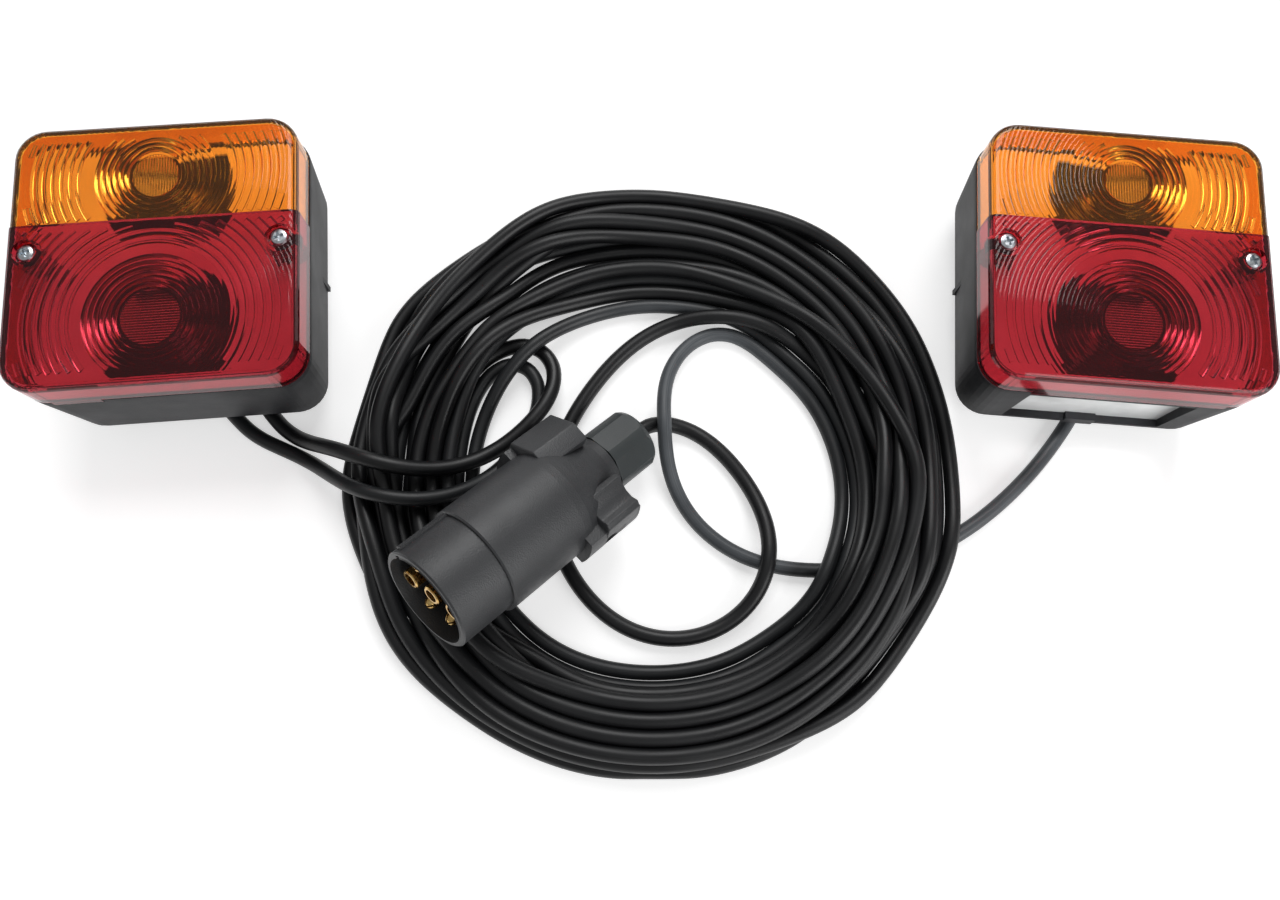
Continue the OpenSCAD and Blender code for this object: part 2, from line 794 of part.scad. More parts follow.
// Barrel: an open shell with a rolled lip, a key rib and a spigot that fits in the body
module plug_barrel() {
    key_w = 3;
    spigot_len = 14;
    color([0.25, 0.25, 0.26])
        difference() {
            union() {
                rotate_extrude()
                    polygon([[bore_r, 0.3], [bore_r + 0.3, 0], [barrel_r - 0.6, 0], [barrel_r, -0.6],
                             [barrel_r, seam], [spigot_r, seam], [spigot_r, seam - spigot_len],
                             [bore_r - 1, seam - spigot_len],
                             [bore_r - 1, carrier_face - carrier_t + 1.5],
                             [bore_r, carrier_face - carrier_t + 1.5]]);
                rotate([0, 0, 148])
                    translate([barrel_r - 1, -key_w / 2, seam])
                        cube([2, key_w, barrel_len - 2]);
            }
            // Keyway on the inside of the mouth
            rotate([0, 0, 148])
                translate([bore_r - 1, -1.2, -8])
                    cube([2, 2.4, 10]);
        }
}

// Contact carrier: a thick disc with a raised rim, drilled for the contacts and the screws
module contact_carrier() {
    disc_r = bore_r - seat_gap;
    color([0.14, 0.14, 0.15])
        difference() {
            union() {
                translate([0, 0, carrier_face - carrier_t + 1.5])
                    cylinder(r = disc_r, h = carrier_t - 1.5);
                translate([0, 0, carrier_face - carrier_t - 4])
                    cylinder(r = disc_r - 3, h = 6);
                for (p = tube_places)
                    translate([p[0], p[1], carrier_face - join])
                        cylinder(d = tube_od + 0.8, h = 1 + join);
                for (p = pin_places)
                    translate([p[0], p[1], carrier_face - join])
                        cylinder(d = pin_d + 1.2, h = 1 + join);
            }
            for (p = tube_places)
                translate([p[0], p[1], carrier_face - carrier_t - 5])
                    cylinder(d = tube_od + 0.1, h = carrier_t + 8);
            for (p = pin_places)
                translate([p[0], p[1], carrier_face - carrier_t - 5])
                    cylinder(d = pin_d + 0.1, h = carrier_t + 8);
            for (p = screw_spots)
                translate([p[0], p[1], carrier_face - carrier_t - 5])
                    cylinder(d = 2.7, h = carrier_t + 8);
        }
}

screw_spots = [for (a = [117, 297]) [6.5 * cos(a), 6.5 * sin(a)]];
module carrier_screws() {
    color([0.8, 0.82, 0.84])
        for (p = screw_spots)
            translate([p[0], p[1], carrier_face])
                difference() {
                    union() {
                        translate([0, 0, -carrier_t - 3])
                            cylinder(d = 2.5, h = carrier_t + 3 + join);
                        cylinder(d = 3.6, h = 1.3);
                    }
                    translate([0, 0, 1.3])
                        cube([5, 0.8, 1.2], center = true);
                }
}

// Contact tubes: open sleeves with a slit, closed at the wire end
module contact_tubes() {
    reach = carrier_depth - contact_recess;
    wire_end = 7;
    color([0.8, 0.62, 0.3])
        for (p = tube_places)
            translate([p[0], p[1], carrier_face])
                difference() {
                    union() {
                        translate([0, 0, -carrier_t - wire_end])
                            cylinder(d = tube_od, h = carrier_t + wire_end + reach - 0.4);
                        translate([0, 0, reach - 0.4 - hair])
                            cylinder(d1 = tube_od, d2 = tube_od - 0.8, h = 0.4);
                    }
                    translate([0, 0, -1])
                        cylinder(d = tube_bore, h = reach + 2);
                    // Hole for the wire
                    translate([0, 0, -carrier_t - wire_end - 1])
                        cylinder(d = 3, h = 6);
                }
}

// Split pins: round-nosed pins cut by a cross, so that they spring in a socket
module contact_pins() {
    reach = carrier_depth - contact_recess;
    nose = pin_d / 2;
    slit = 0.7;
    wire_end = 7;
    color([0.8, 0.62, 0.3])
        for (p = pin_places)
            translate([p[0], p[1], carrier_face])
                difference() {
                    rotate_extrude()
                        polygon(concat(
                            [[0, -carrier_t - wire_end], [pin_d / 2, -carrier_t - wire_end],
                             [pin_d / 2, reach - nose]],
                            [for (a = [15 : 15 : 90])
                                [nose * cos(a), reach - nose + nose * sin(a)]]));
                    translate([0, 0, reach - 6])
                        for (a = [45, 135])
                            rotate([0, 0, a])
                                cube([pin_d + 1, slit, 14], center = true);
                    translate([0, 0, -carrier_t - wire_end - 1])
                        cylinder(d = 3, h = 6);
                }
}

// Rear body: a sleeve that narrows to the gland's thread, with two wings
neck_r = gland_r - 3.2;
module plug_body() {
    inner_r = body_r - body_wall;
    thread_end = gland_seam - gland_len + 6;
    color([0.27, 0.27, 0.28])
        difference() {
            union() {
                rotate_extrude()
                    polygon(concat(
                        [[0, seam], [body_r - 0.6, seam], [body_r, seam - 0.6]],
                        [for (t = [0 : 0.125 : 0.875])
                            [gland_r - 0.5 + (body_r - gland_r + 0.5) * (1 + cos(180 * t)) / 2,
                             shoulder - (shoulder - gland_seam) * t]],
                        [[gland_r - 0.5, gland_seam], [neck_r, gland_seam],
                         [neck_r, thread_end], [0, thread_end]]));
                for (s = [-1, 1])
                    wing(s);
            }
            // Room for the wires, and the way in for the cable
            rotate_extrude()
                polygon([[0, seam + 1], [inner_r, seam + 1], [inner_r, shoulder + 2],
                         [main_d / 2 + seat_gap, gland_seam + 10],
                         [main_d / 2 + seat_gap, thread_end - 1], [0, thread_end - 1]]);
        }
}

// Wing: a block at the side of the body's rear end, with a shallow scoop in its outer face
module wing(s) {
    wing_front = shoulder + 1;
    wing_back = gland_seam + 3;
    wing_h = 14;
    long = wing_front - wing_back;
    translate([s * wing_reach / 2, 0, (wing_front + wing_back) / 2])
        difference() {
            intersection() {
                cube([wing_reach, wing_w, long], center = true);
                rotate([0, 0, 0])
                    translate([s * (wing_reach / 2 - wing_reach), 0, 0])
                        cylinder(r = wing_reach, h = long + 2, center = true);
            }
            translate([s * (wing_reach / 2 + 9), 0, -1])
                rotate([90, 0, 0])
                    cylinder(r = 10.5, h = wing_w - 5, center = true);
        }
}

// Gland nut: turned cap with six flats and a rounded rear edge
module gland_nut() {
    bore = neck_r + seat_gap;
    back = -plug_len;
    flat = gland_r * 0.94;
    color([0.24, 0.25, 0.25])
        difference() {
            intersection() {
                rotate_extrude()
                    polygon([[0, gland_seam - seat_gap], [gland_r, gland_seam - seat_gap],
                             [gland_r, back + 3], [gland_r - 1, back + 1],
                             [gland_r - 3, back], [0, back]]);
                rotate([0, 0, 15])
                    cylinder(r = flat / cos(30), h = 3 * plug_len, center = true, $fn = 6);
            }
            translate([0, 0, back + 4])
                cylinder(r = bore, h = plug_len);
            translate([0, 0, back - 1])
                cylinder(d = main_d + 2 * seat_gap, h = plug_len);
        }
}

// Gland seal: a rubber ring squeezed between the nut's floor and the body's neck
module gland_seal() {
    back = -plug_len + 4;
    thread_end = gland_seam - gland_len + 6;
    color([0.1, 0.1, 0.1])
        difference() {
            translate([0, 0, back])
                cylinder(r = neck_r, h = thread_end - back);
            translate([0, 0, back - 1])
                cylinder(d = main_d + 2 * seat_gap, h = plug_len);
        }
}

// Leads: smooth curves through points chosen by hand, swept with a ring every two or three diameters
lead_sides = 8;
function catmull(a, b, c, d, t) =
    0.5 * (2 * b + (c - a) * t + (2 * a - 5 * b + 4 * c - d) * t * t
           + (3 * b - a - 3 * c + d) * t * t * t);
function smooth(p, per) =
    let (n = len(p))
    concat([for (i = [0 : n - 2], k = [0 : per - 1])
                catmull(p[max(i - 1, 0)], p[i], p[i + 1], p[min(i + 2, n - 1)], k / per)],
           [p[n - 1]]);
function unit(v) = v / norm(v);
module swept_lead(route, per, d) {
    line = smooth(route, per);
    n = len(line);
    r = d / 2;
    points = [for (i = [0 : n - 1])
                  let (along = unit(line[min(i + 1, n - 1)] - line[max(i - 1, 0)]),
                       side = unit(cross(along, [0, 0, 1])),
                       up = cross(side, along))
                  for (k = [0 : lead_sides - 1])
                      let (a = 360 * (k + 0.5) / lead_sides)
                          line[i] + r * (cos(a) * side + sin(a) * up)];
    walls = [for (i = [0 : n - 2], k = [0 : lead_sides - 1])
                 let (k2 = (k + 1) % lead_sides)
                     each [[i * lead_sides + k, i * lead_sides + k2, (i + 1) * lead_sides + k2],
                           [i * lead_sides + k, (i + 1) * lead_sides + k2, (i + 1) * lead_sides + k]]];
    start_face = [for (k = [lead_sides - 1 : -1 : 0]) k];
    end_face = [for (k = [0 : lead_sides - 1]) (n - 1) * lead_sides + k];
    polyhedron(points, concat([start_face], walls, [end_face]));
}

coil_at = [0, -66.5, 0];
module cable_coil() {
    round_r = 8;
    w = coil_r - coil_hole_r;
    color([0.13, 0.13, 0.13])
        translate(coil_at)
            rotate_extrude($fn = 128)
                polygon(concat(
                    [for (a = [0 : 15 : 90])
                        [coil_r - round_r + round_r * cos(a), coil_h - round_r + round_r * sin(a)]],
                    [for (a = [90 : 15 : 180])
                        [coil_hole_r + round_r + round_r * cos(a),
                         coil_h - round_r + round_r * sin(a)]],
                    [[coil_hole_r, 3], [coil_hole_r + 3, 0], [coil_r - 3, 0], [coil_r, 3]]));
}

// Routes: round numbers, laid along the floor, over the coil and over each other
plug_axis = [cos(plug_tilt) * cos(plug_heading), cos(plug_tilt) * sin(plug_heading), sin(plug_tilt)];
plug_end_route = concat([for (k = [10, 3, -6]) plug_at - (plug_len - k) * plug_axis], [
    [7, -48, 6.2], [14, -49.5, 4.4], [22, -56, 3.4], [32, -65, 3.3],
    [42, -76, 3.5], [47.5, -88, 6], [49, -98, 9.2], [48, -108, 9.6], [44.5, -117.5, 5.5],
    [37, -125.5, 3.3], [27, -131, 3.3], [15, -134.5, 3.3], [3, -134.5, 3.3], [-9, -130, 3.3],
    [-20, -120, 3.3], [-28, -109, 3.3], [-34, -96, 3.3], [-37, -82, 3.3], [-36, -67, 3.3],
    [-31, -53, 3.3], [-23, -39, 3.3], [-12, -25, 3.5], [0, -13.5, 5], [12, -6.5, 8], [28, -2.5, 14]
]);
main_lamp_route = [
    [-159.7, -34.2, 4.3], [-154, -40, 4.1], [-146, -46.5, 3.8], [-136, -52, 7], [-126, -57, 15.5],
    [-119, -61, 21.8], [-110, -66, 23.2], [-97, -70.5, 23], [-82, -70.5, 23], [-70, -68, 22.8],
    [-60, -62, 21], [-51, -51, 17.5], [-44.5, -39, 13.5], [-43, -27, 7], [-44.5, -18, 4],
    [-47, -13, 3.4]
];
link_left_route = [
    [-175.6, -35.5, 4.3], [-169, -41.5, 3.8], [-160, -48, 3.2], [-150, -54, 3.2], [-139, -61, 6],
    [-129, -66.5, 13.5], [-122, -71, 20.5], [-113, -76.5, 22.8], [-99, -82.5, 22.8],
    [-86, -83.5, 22.8], [-73, -79, 22.6], [-62, -71, 19.5], [-54, -61, 13], [-48, -50, 7],
    [-47, -40, 3.5], [-49.5, -30, 3.2], [-55, -21.5, 3.2]
];
link_loop_route = [
    [58.5, -28.5, 6], [51.5, -18.5, 4.5], [42.5, -12.5, 3.2], [30, -13, 3.2], [19, -21, 4.5],
    [10.5, -33, 9.5], [6.5, -45, 14.5], [7.5, -59, 12.5], [10.5, -71, 6], [16, -82, 3.2],
    [25, -93, 3.2], [37, -102.5, 3.2], [49, -107, 3.2], [58.5, -107.5, 3.2]
];
link_right_route = [
    [118.5, -99.5, 3.2], [124.5, -94.5, 3.2], [133, -88, 3.2], [145, -79, 3.2], [157, -68, 3.2],
    [166, -57.5, 3.2], [173.5, -47.5, 3.6], [179.2, -38.4, 4.3]
];

module at_left() {
    translate([-lamp_pitch / 2, 0, 0])
        rotate([0, 0, lamp_turn])
            children();
}

module at_right() {
    translate([lamp_pitch / 2, 0, 0])
        rotate([0, 0, -lamp_turn])
            children();
}

module black() {
    color([0.17, 0.17, 0.18])
        children();
}

at_left() black() housing(LEFT);  // left_housing
at_left() lens_amber();  // left_lens_amber
at_left() lens_red(LEFT);  // left_lens_red
at_left() lens_seal();  // left_lens_seal
at_left() lens_screws();  // left_lens_screws
at_left() reflector();  // left_reflector
at_left() bulb_sockets();  // left_bulb_sockets
at_left() contact_strips();  // left_contact_strips
at_left() bulb_glass(amber_eye_y);  // left_indicator_glass
at_left() bulb_cap(amber_eye_y);  // left_indicator_cap
at_left() bulb_glass(-red_eye_y);  // left_stop_glass
at_left() bulb_cap(-red_eye_y);  // left_stop_cap
at_left() magnet_cups();  // left_magnet_cups
at_left() ring_magnets();  // left_ring_magnets
at_left() magnet_studs();  // left_magnet_studs
at_left() stud_nuts();  // left_stud_nuts
at_left() left_boots();  // left_cable_boots
at_right() black() housing(RIGHT);  // right_housing
at_right() lens_amber();  // right_lens_amber
at_right() lens_red(RIGHT);  // right_lens_red
at_right() lens_seal();  // right_lens_seal
at_right() lens_screws();  // right_lens_screws
at_right() reflector();  // right_reflector
at_right() mirror([1, 0, 0]) bulb_sockets();  // right_bulb_sockets
at_right() mirror([1, 0, 0]) contact_strips();  // right_contact_strips
at_right() mirror([1, 0, 0]) bulb_glass(amber_eye_y);  // right_indicator_glass
at_right() mirror([1, 0, 0]) bulb_cap(amber_eye_y);  // right_indicator_cap
at_right() mirror([1, 0, 0]) bulb_glass(-red_eye_y);  // right_stop_glass
at_right() mirror([1, 0, 0]) bulb_cap(-red_eye_y);  // right_stop_cap
at_right() magnet_cups();  // right_magnet_cups
at_right() ring_magnets();  // right_ring_magnets
at_right() magnet_studs();  // right_magnet_studs
at_right() stud_nuts();  // right_stud_nuts
at_right() cable_boot(cable_holes(RIGHT)[0], 243, link_d);  // right_cable_boot
at_right() blanking_grommet(cable_holes(RIGHT)[1]);  // right_blanking_grommet
at_right() pane();  // plate_window
at_right() clip();  // window_clip
at_plug() plug_barrel();
at_plug() plug_body();
at_plug() contact_carrier();
at_plug() contact_tubes();
at_plug() contact_pins();
at_plug() gland_nut();
at_plug() gland_seal();
at_plug() carrier_screws();
cable_coil();
black() swept_lead(plug_end_route, 1, main_d);  // main_lead_plug_end
black() swept_lead(main_lamp_route, 1, main_d);  // main_lead_lamp_end
black() swept_lead(link_left_route, 1, link_d);  // link_lead_left
black() swept_lead(link_loop_route, 1, link_d);  // link_lead_loop
black() swept_lead(link_right_route, 1, link_d);  // link_lead_right

module left_boots() {
    cable_boot(cable_holes(LEFT)[0], -50, link_d);
    cable_boot(cable_holes(LEFT)[1], -50, main_d);
}
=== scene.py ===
# Magnetic trailer light kit: two square combination lamps on magnets, a seven-contact plug and
# the two leads that join them, wound in one coil. Lamps lie on their backs with the lenses up.
import math
import bpy
import bmesh
import numpy as np
from mathutils import Matrix, Vector


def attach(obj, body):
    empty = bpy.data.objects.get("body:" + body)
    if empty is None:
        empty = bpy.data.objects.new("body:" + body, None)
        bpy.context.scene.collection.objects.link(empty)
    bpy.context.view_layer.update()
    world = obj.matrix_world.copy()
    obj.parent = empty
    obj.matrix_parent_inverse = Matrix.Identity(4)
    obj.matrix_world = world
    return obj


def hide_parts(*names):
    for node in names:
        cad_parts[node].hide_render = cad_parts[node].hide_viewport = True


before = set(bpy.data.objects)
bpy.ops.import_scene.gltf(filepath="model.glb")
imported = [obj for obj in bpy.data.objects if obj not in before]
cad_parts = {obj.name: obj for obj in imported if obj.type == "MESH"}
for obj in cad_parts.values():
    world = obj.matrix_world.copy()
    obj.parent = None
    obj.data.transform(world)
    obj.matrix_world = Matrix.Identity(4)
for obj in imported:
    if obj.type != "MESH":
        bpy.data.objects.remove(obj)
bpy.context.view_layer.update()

# Camera
# A wide view from above the near edge, 75.8 degrees down, with the slight roll of a picture
# taken by hand. Place and lens were fitted to both lamps, the plug and the coil.
lens_mm = 28.13
camera_at = Vector((-0.00833, -0.15819, 0.39367))
pitch, roll, yaw = 1.323626, 0.0722235, 0.0716299

ahead = Vector((math.sin(yaw) * math.cos(pitch), math.cos(yaw) * math.cos(pitch), -math.sin(pitch)))
level_right = Vector((math.cos(yaw), -math.sin(yaw), 0))
level_up = level_right.cross(ahead)
right = level_right * math.cos(roll) + level_up * math.sin(roll)
up = level_up * math.cos(roll) - level_right * math.sin(roll)
camera_data = bpy.data.cameras.new("camera")
camera_data.lens = lens_mm
camera_data.sensor_width = 36
camera_data.sensor_fit = "HORIZONTAL"
camera_data.clip_start = 0.01
camera = bpy.data.objects.new("camera", camera_data)
camera.matrix_world = Matrix(((right.x, up.x, -ahead.x, camera_at.x),
                              (right.y, up.y, -ahead.y, camera_at.y),
                              (right.z, up.z, -ahead.z, camera_at.z),
                              (0, 0, 0, 1)))
bpy.context.scene.collection.objects.link(camera)
bpy.context.scene.camera = camera
bpy.context.scene.view_settings.view_transform = "Standard"

# Main lead and link lead
# Two round rubber-sheathed cables. The main lead runs from the plug to the left lamp and the
# link lead from the left lamp to the right one. Both are wound by hand in one loose coil, so
# the turns cross and lie on each other. The points are those of the part's source.
main_r, link_r = 3.1, 2.9                       # mm, as all lengths of this section
plug_mouth = np.array([-75.5, -124.7, 49.2])
plug_tilt, plug_heading, plug_length = math.radians(21), math.radians(223.5), 106
plug_axis = np.array([math.cos(plug_tilt) * math.cos(plug_heading),
                      math.cos(plug_tilt) * math.sin(plug_heading), math.sin(plug_tilt)])
gland_end = plug_mouth - plug_length * plug_axis
body_r, gland_half = 21, 13.2                   # the plug's body and gland, from its axis
neck_half, swell = 13, 4.3                      # the rear body widens from the one by twice the other
neck_ends, body_begins = 21, 49                 # along the axis, from the gland's end
wing_reach, wing_half = 25, 8                   # from the plug's axis, outwards and upwards
wing_back, wing_front = 23, 44                  # along the axis, from the gland's end
plug_gap = 0.2
coil_centre = (0, -66.5)
coil_front, coil_back = -186.2, 53.8            # edges of the coil in the part's source
plug_end_route = [list(plug_mouth - plug_axis * (plug_length - k)) for k in (10, 3, -6)] + [
    [7, -48, 6.2], [14, -49.5, 4.4], [22, -56, 3.4], [32, -65, 3.3], [42, -76, 3.5],
    [47.5, -88, 6], [49, -98, 9.2], [48, -108, 9.6], [44.5, -117.5, 5.5], [37, -125.5, 3.3],
    [27, -131, 3.3], [15, -134.5, 3.3], [3, -134.5, 3.3], [-9, -130, 3.3], [-20, -120, 3.3],
    [-28, -109, 3.3], [-34, -96, 3.3], [-37, -82, 3.3], [-36, -67, 3.3], [-31, -53, 3.3],
    [-23, -39, 3.3], [-12, -25, 3.5], [0, -13.5, 5], [12, -6.5, 8], [28, -2.5, 14]]
main_lamp_route = [
    [-159.7, -34.2, 4.3], [-154, -40, 4.1], [-146, -46.5, 3.8], [-136, -52, 7],
    [-126, -57, 15.5], [-119, -61, 21.8], [-110, -66, 23.2], [-97, -70.5, 23], [-82, -70.5, 23],
    [-70, -68, 22.8], [-60, -62, 21], [-51, -51, 17.5], [-44.5, -39, 13.5], [-43, -27, 7],
    [-44.5, -18, 4], [-47, -13, 3.4]]
link_left_route = [
    [-175.6, -35.5, 4.3], [-169, -41.5, 3.8], [-160, -48, 3.2], [-150, -54, 3.2],
    [-139, -61, 6], [-129, -66.5, 13.5], [-122, -71, 20.5], [-113, -76.5, 22.8],
    [-99, -82.5, 22.8], [-86, -83.5, 22.8], [-73, -79, 22.6], [-62, -71, 19.5], [-54, -61, 13],
    [-48, -50, 7], [-47, -40, 3.5], [-49.5, -30, 3.2], [-55, -21.5, 3.2]]
link_loop_route = [
    [58.5, -28.5, 6], [51.5, -18.5, 4.5], [42.5, -12.5, 3.2], [30, -13, 3.2], [19, -21, 4.5],
    [10.5, -33, 9.5], [6.5, -45, 14.5], [7.5, -59, 12.5], [10.5, -71, 6], [16, -82, 3.2],
    [25, -93, 3.2], [37, -102.5, 3.2], [49, -107, 3.2], [58.5, -107.5, 3.2]]
link_right_route = [
    [118.5, -99.5, 3.2], [124.5, -94.5, 3.2], [133, -88, 3.2], [145, -79, 3.2],
    [157, -68, 3.2], [166, -57.5, 3.2], [173.5, -47.5, 3.6], [179.2, -38.4, 4.3]]

# How the turns were thrown: turn, radius, shift right, shift up, place in the stack.
main_turns = [
    (0.0, 81, 0, 0, 4.2), (0.3, 97, 0, 0, 5), (1, 106, 2, 1, 7), (2, 114, 0, 0, 9),
    (3, 109, 1, -1, 11), (4, 100, -3, 2, 12.5), (5, 90, 3, 0, 14), (6, 117, 5, -2, 15),
    (7, 103, -3, 1, 13.5), (8, 92, 2, -1, 12), (9, 111, -1, 1, 10), (10, 98, 3, 1, 8),
    (11, 84, -2, 0, 6), (11.5, 88, 0, 0, 2.5), (11.8, 84, 0, 0, 0.6)]
link_turns = [
    (0.0, 82, 0, 0, 0.2), (0.3, 92, 0, 0, 0.6), (1, 103, 0, 0, 1.2), (2, 86, 0, 0, 2.4),
    (3, 77, 1, 0, 3.6), (3.4, 77, 1, 0, 4.2), (3.7, 77, 0, 0, 4.4)]
# Places in the stack of the free stretches; None keeps the point's own height.
main_lamp_stack = [None, None, 6, 16, 17.5, 17.8, 17.8, 17.8, 17.5, 17.5, 16, 12, 7, 3, 1, 0.8]
link_left_stack = [None, None, None, 6, 16, 17, 17, 17.2, 17, 17, 17, 15, 9, 4, 1.5, 0.5, 0.3]
plug_end_stack = [None] * (len(plug_end_route) - 2) + [1.2, 3.4]
link_loop_stack = [4.2, 1.6, 0.3] + [None] * (len(link_loop_route) - 3)
stack_step = 6.4
# How the cables move in each round of settling, in mm and as shares.
fall, drag, last_drag = 0.12, 0.85, 0.42
kept_plan, stiffness, push_share, skin = 0.03, 0.06, 0.45, 0.05


def eased(xs, ys, x):
    """Smooth curve through the rows of a table."""
    i = np.clip(np.searchsorted(xs, x) - 1, 0, len(xs) - 2)
    t = (x - xs[i]) / (xs[i + 1] - xs[i])
    a, b, c, d = ys[np.maximum(i - 1, 0)], ys[i], ys[i + 1], ys[np.minimum(i + 2, len(xs) - 1)]
    return 0.5 * (2 * b + (c - a) * t + (2 * a - 5 * b + 4 * c - d) * t ** 2
                  + (3 * b - a - 3 * c + d) * t ** 3)


def through(points, per=8):
    """Smooth curve through the points of a route."""
    p = np.array(points, float)
    at = np.arange(len(p), dtype=float)
    x = np.linspace(0, len(p) - 1, (len(p) - 1) * per + 1)
    return np.column_stack([eased(at, p[:, k], x) for k in range(3)])


def stacked(route, places):
    """A route with its heights drawn apart, as high above each other as they will settle in order."""
    p = np.array(route, float)
    for i, place in enumerate(places):
        if place is not None:
            p[i, 2] = main_r + stack_step * place
    return through(p)


def thrown(start, end, table):
    """Turns of the coil from one angle to another, with each turn's own radius and centre."""
    rows = np.array(table, float)
    angle = np.linspace(start, end, int(abs(end - start) / 5))
    turn = np.abs(angle - start) / 360
    radius, dx, dy, place = (eased(rows[:, 0], rows[:, k], turn) for k in (1, 2, 3, 4))
    inward = (116 - radius) / 41
    a = np.radians(angle)
    return np.column_stack([coil_centre[0] + 1 + 5 * inward + dx + radius * np.cos(a),
                            coil_centre[1] + 1.5 - 11 * inward + dy + radius * np.sin(a),
                            main_r + stack_step * place])


def evenly(points, step):
    """Points at an even step, measured with the heights that the settled coil has."""
    low = points.copy()
    low[:, 2] = np.where(low[:, 2] > 25, 20 + (low[:, 2] - 25) * 0.03, low[:, 2])
    d = np.r_[0, np.cumsum(np.linalg.norm(np.diff(low, axis=0), axis=1))]
    n = int(round(d[-1] / step))
    s = np.linspace(0, d[-1], n + 1)
    return np.column_stack([np.interp(s, d, points[:, k]) for k in range(3)]), d[-1] / n


def below_plug(p, radius):
    """Keeps the strands under the plug's body and clear of its two wings."""
    level = np.array([plug_axis[0], plug_axis[1], 0]) / math.hypot(plug_axis[0], plug_axis[1])
    sideways = np.array([-level[1], level[0], 0])
    v = p - gland_end
    off = v @ sideways
    under_at = (v @ level - body_r * math.sin(plug_tilt)) / math.cos(plug_tilt)
    shoulder = np.clip((body_begins - under_at) / (body_begins - neck_ends), 0, 1)
    body = np.where(under_at < neck_ends, gland_half, neck_half + swell * (1 + np.cos(np.pi * shoulder)))
    under = (under_at > neck_ends + 4) & (under_at < plug_length) & (np.abs(off) < body)
    top = (gland_end[2] + under_at * math.sin(plug_tilt)
           - np.sqrt(np.clip(body ** 2 - off ** 2, 0, None)) * math.cos(plug_tilt) - radius - plug_gap)
    hit = under & (p[:, 2] > top)
    p[hit, 2] = np.maximum(top[hit], radius[hit])
    across = np.array([math.cos(plug_heading + math.pi / 2), math.sin(plug_heading + math.pi / 2), 0])
    upright = np.cross(plug_axis, across)
    along = v @ plug_axis
    q = v - np.outer(along, plug_axis)
    x, y = q @ across, q @ upright
    hit = ((along > wing_back) & (along < wing_front) & (np.abs(x) < wing_reach + radius)
           & (np.abs(y) < wing_half + radius))
    p[hit] -= np.outer((y + wing_half + radius + plug_gap)[hit], upright)
    return p


def near_pairs(p, seg, cord, reach):
    """Pairs of cable lengths that lie close enough to touch in the next few rounds."""
    middle = 0.5 * (p[seg] + p[seg + 1])
    size = (middle ** 2).sum(1)
    gap = size[:, None] + size[None, :] - 2 * middle @ middle.T
    i, j = np.where(np.triu(gap < reach ** 2, 1))
    neighbours = (cord[seg[i]] == cord[seg[j]]) & (j - i < 3)
    return seg[i[~neighbours]], seg[j[~neighbours]]


def keep_length(p, seg, rest, free):
    """Draws each length of cable back to its own measure."""
    run = p[seg + 1] - p[seg]
    length = np.linalg.norm(run, axis=1) + 1e-9
    pull = ((length - rest[seg]) / length / (free[seg] + free[seg + 1] + 1e-9) * 0.5)[:, None]
    np.add.at(p, seg, pull * free[seg][:, None] * run)
    np.add.at(p, seg + 1, -pull * free[seg + 1][:, None] * run)


def keep_stiff(p, free, first, last):
    """Evens out the bends of one cable, as its stiffness does."""
    q = p[first:last]
    bend = q[:-4] - 4 * q[1:-3] + 6 * q[2:-2] - 4 * q[3:-1] + q[4:]
    q[2:-2] -= stiffness * bend * free[first + 2:last - 2][:, None]


def push_apart(p, i, j, radius, free):
    """Pushes cable lengths that overlap apart, at the two points where they are nearest."""
    run_i, run_j, between = p[i + 1] - p[i], p[j + 1] - p[j], p[i] - p[j]
    ii, jj, ij = (run_i * run_i).sum(1), (run_j * run_j).sum(1), (run_i * run_j).sum(1)
    on_j, on_i = (run_j * between).sum(1), (run_i * between).sum(1)
    slant = ii * jj - ij * ij
    s = np.clip(np.where(slant > 1e-6, (ij * on_j - on_i * jj) / np.maximum(slant, 1e-6), 0.5), 0, 1)
    beyond = (ij * s + on_j) / jj
    t = np.clip(beyond, 0, 1)
    s = np.where(beyond != t, np.clip((t * ij - on_i) / ii, 0, 1), s)
    away = p[i] + run_i * s[:, None] - p[j] - run_j * t[:, None]
    far = np.linalg.norm(away, axis=1) + 1e-9
    need = radius[i] + radius[j] + skin
    touch = far < need
    i, j, s, t = i[touch], j[touch], s[touch], t[touch]
    away, lack = away[touch] / far[touch][:, None], (need - far)[touch]
    give = (free[i] * (1 - s) ** 2 + free[i + 1] * s ** 2 + free[j] * (1 - t) ** 2
            + free[j + 1] * t ** 2 + 1e-6)
    push = push_share * lack / give
    np.add.at(p, i, (push * (1 - s) * free[i])[:, None] * away)
    np.add.at(p, i + 1, (push * s * free[i + 1])[:, None] * away)
    np.add.at(p, j, -(push * (1 - t) * free[j])[:, None] * away)
    np.add.at(p, j + 1, -(push * t * free[j + 1])[:, None] * away)


def keep_in(p, radius, loose):
    """Keeps the cables under the plug, on the floor and within the coil's front and back edges."""
    p[loose] = below_plug(p[loose], radius[loose])
    low = loose & (p[:, 2] < radius)
    p[low, 2] = radius[low]
    held = np.clip(p[:, 1], radius + coil_front, coil_back - radius)
    p[loose, 1] = held[loose]


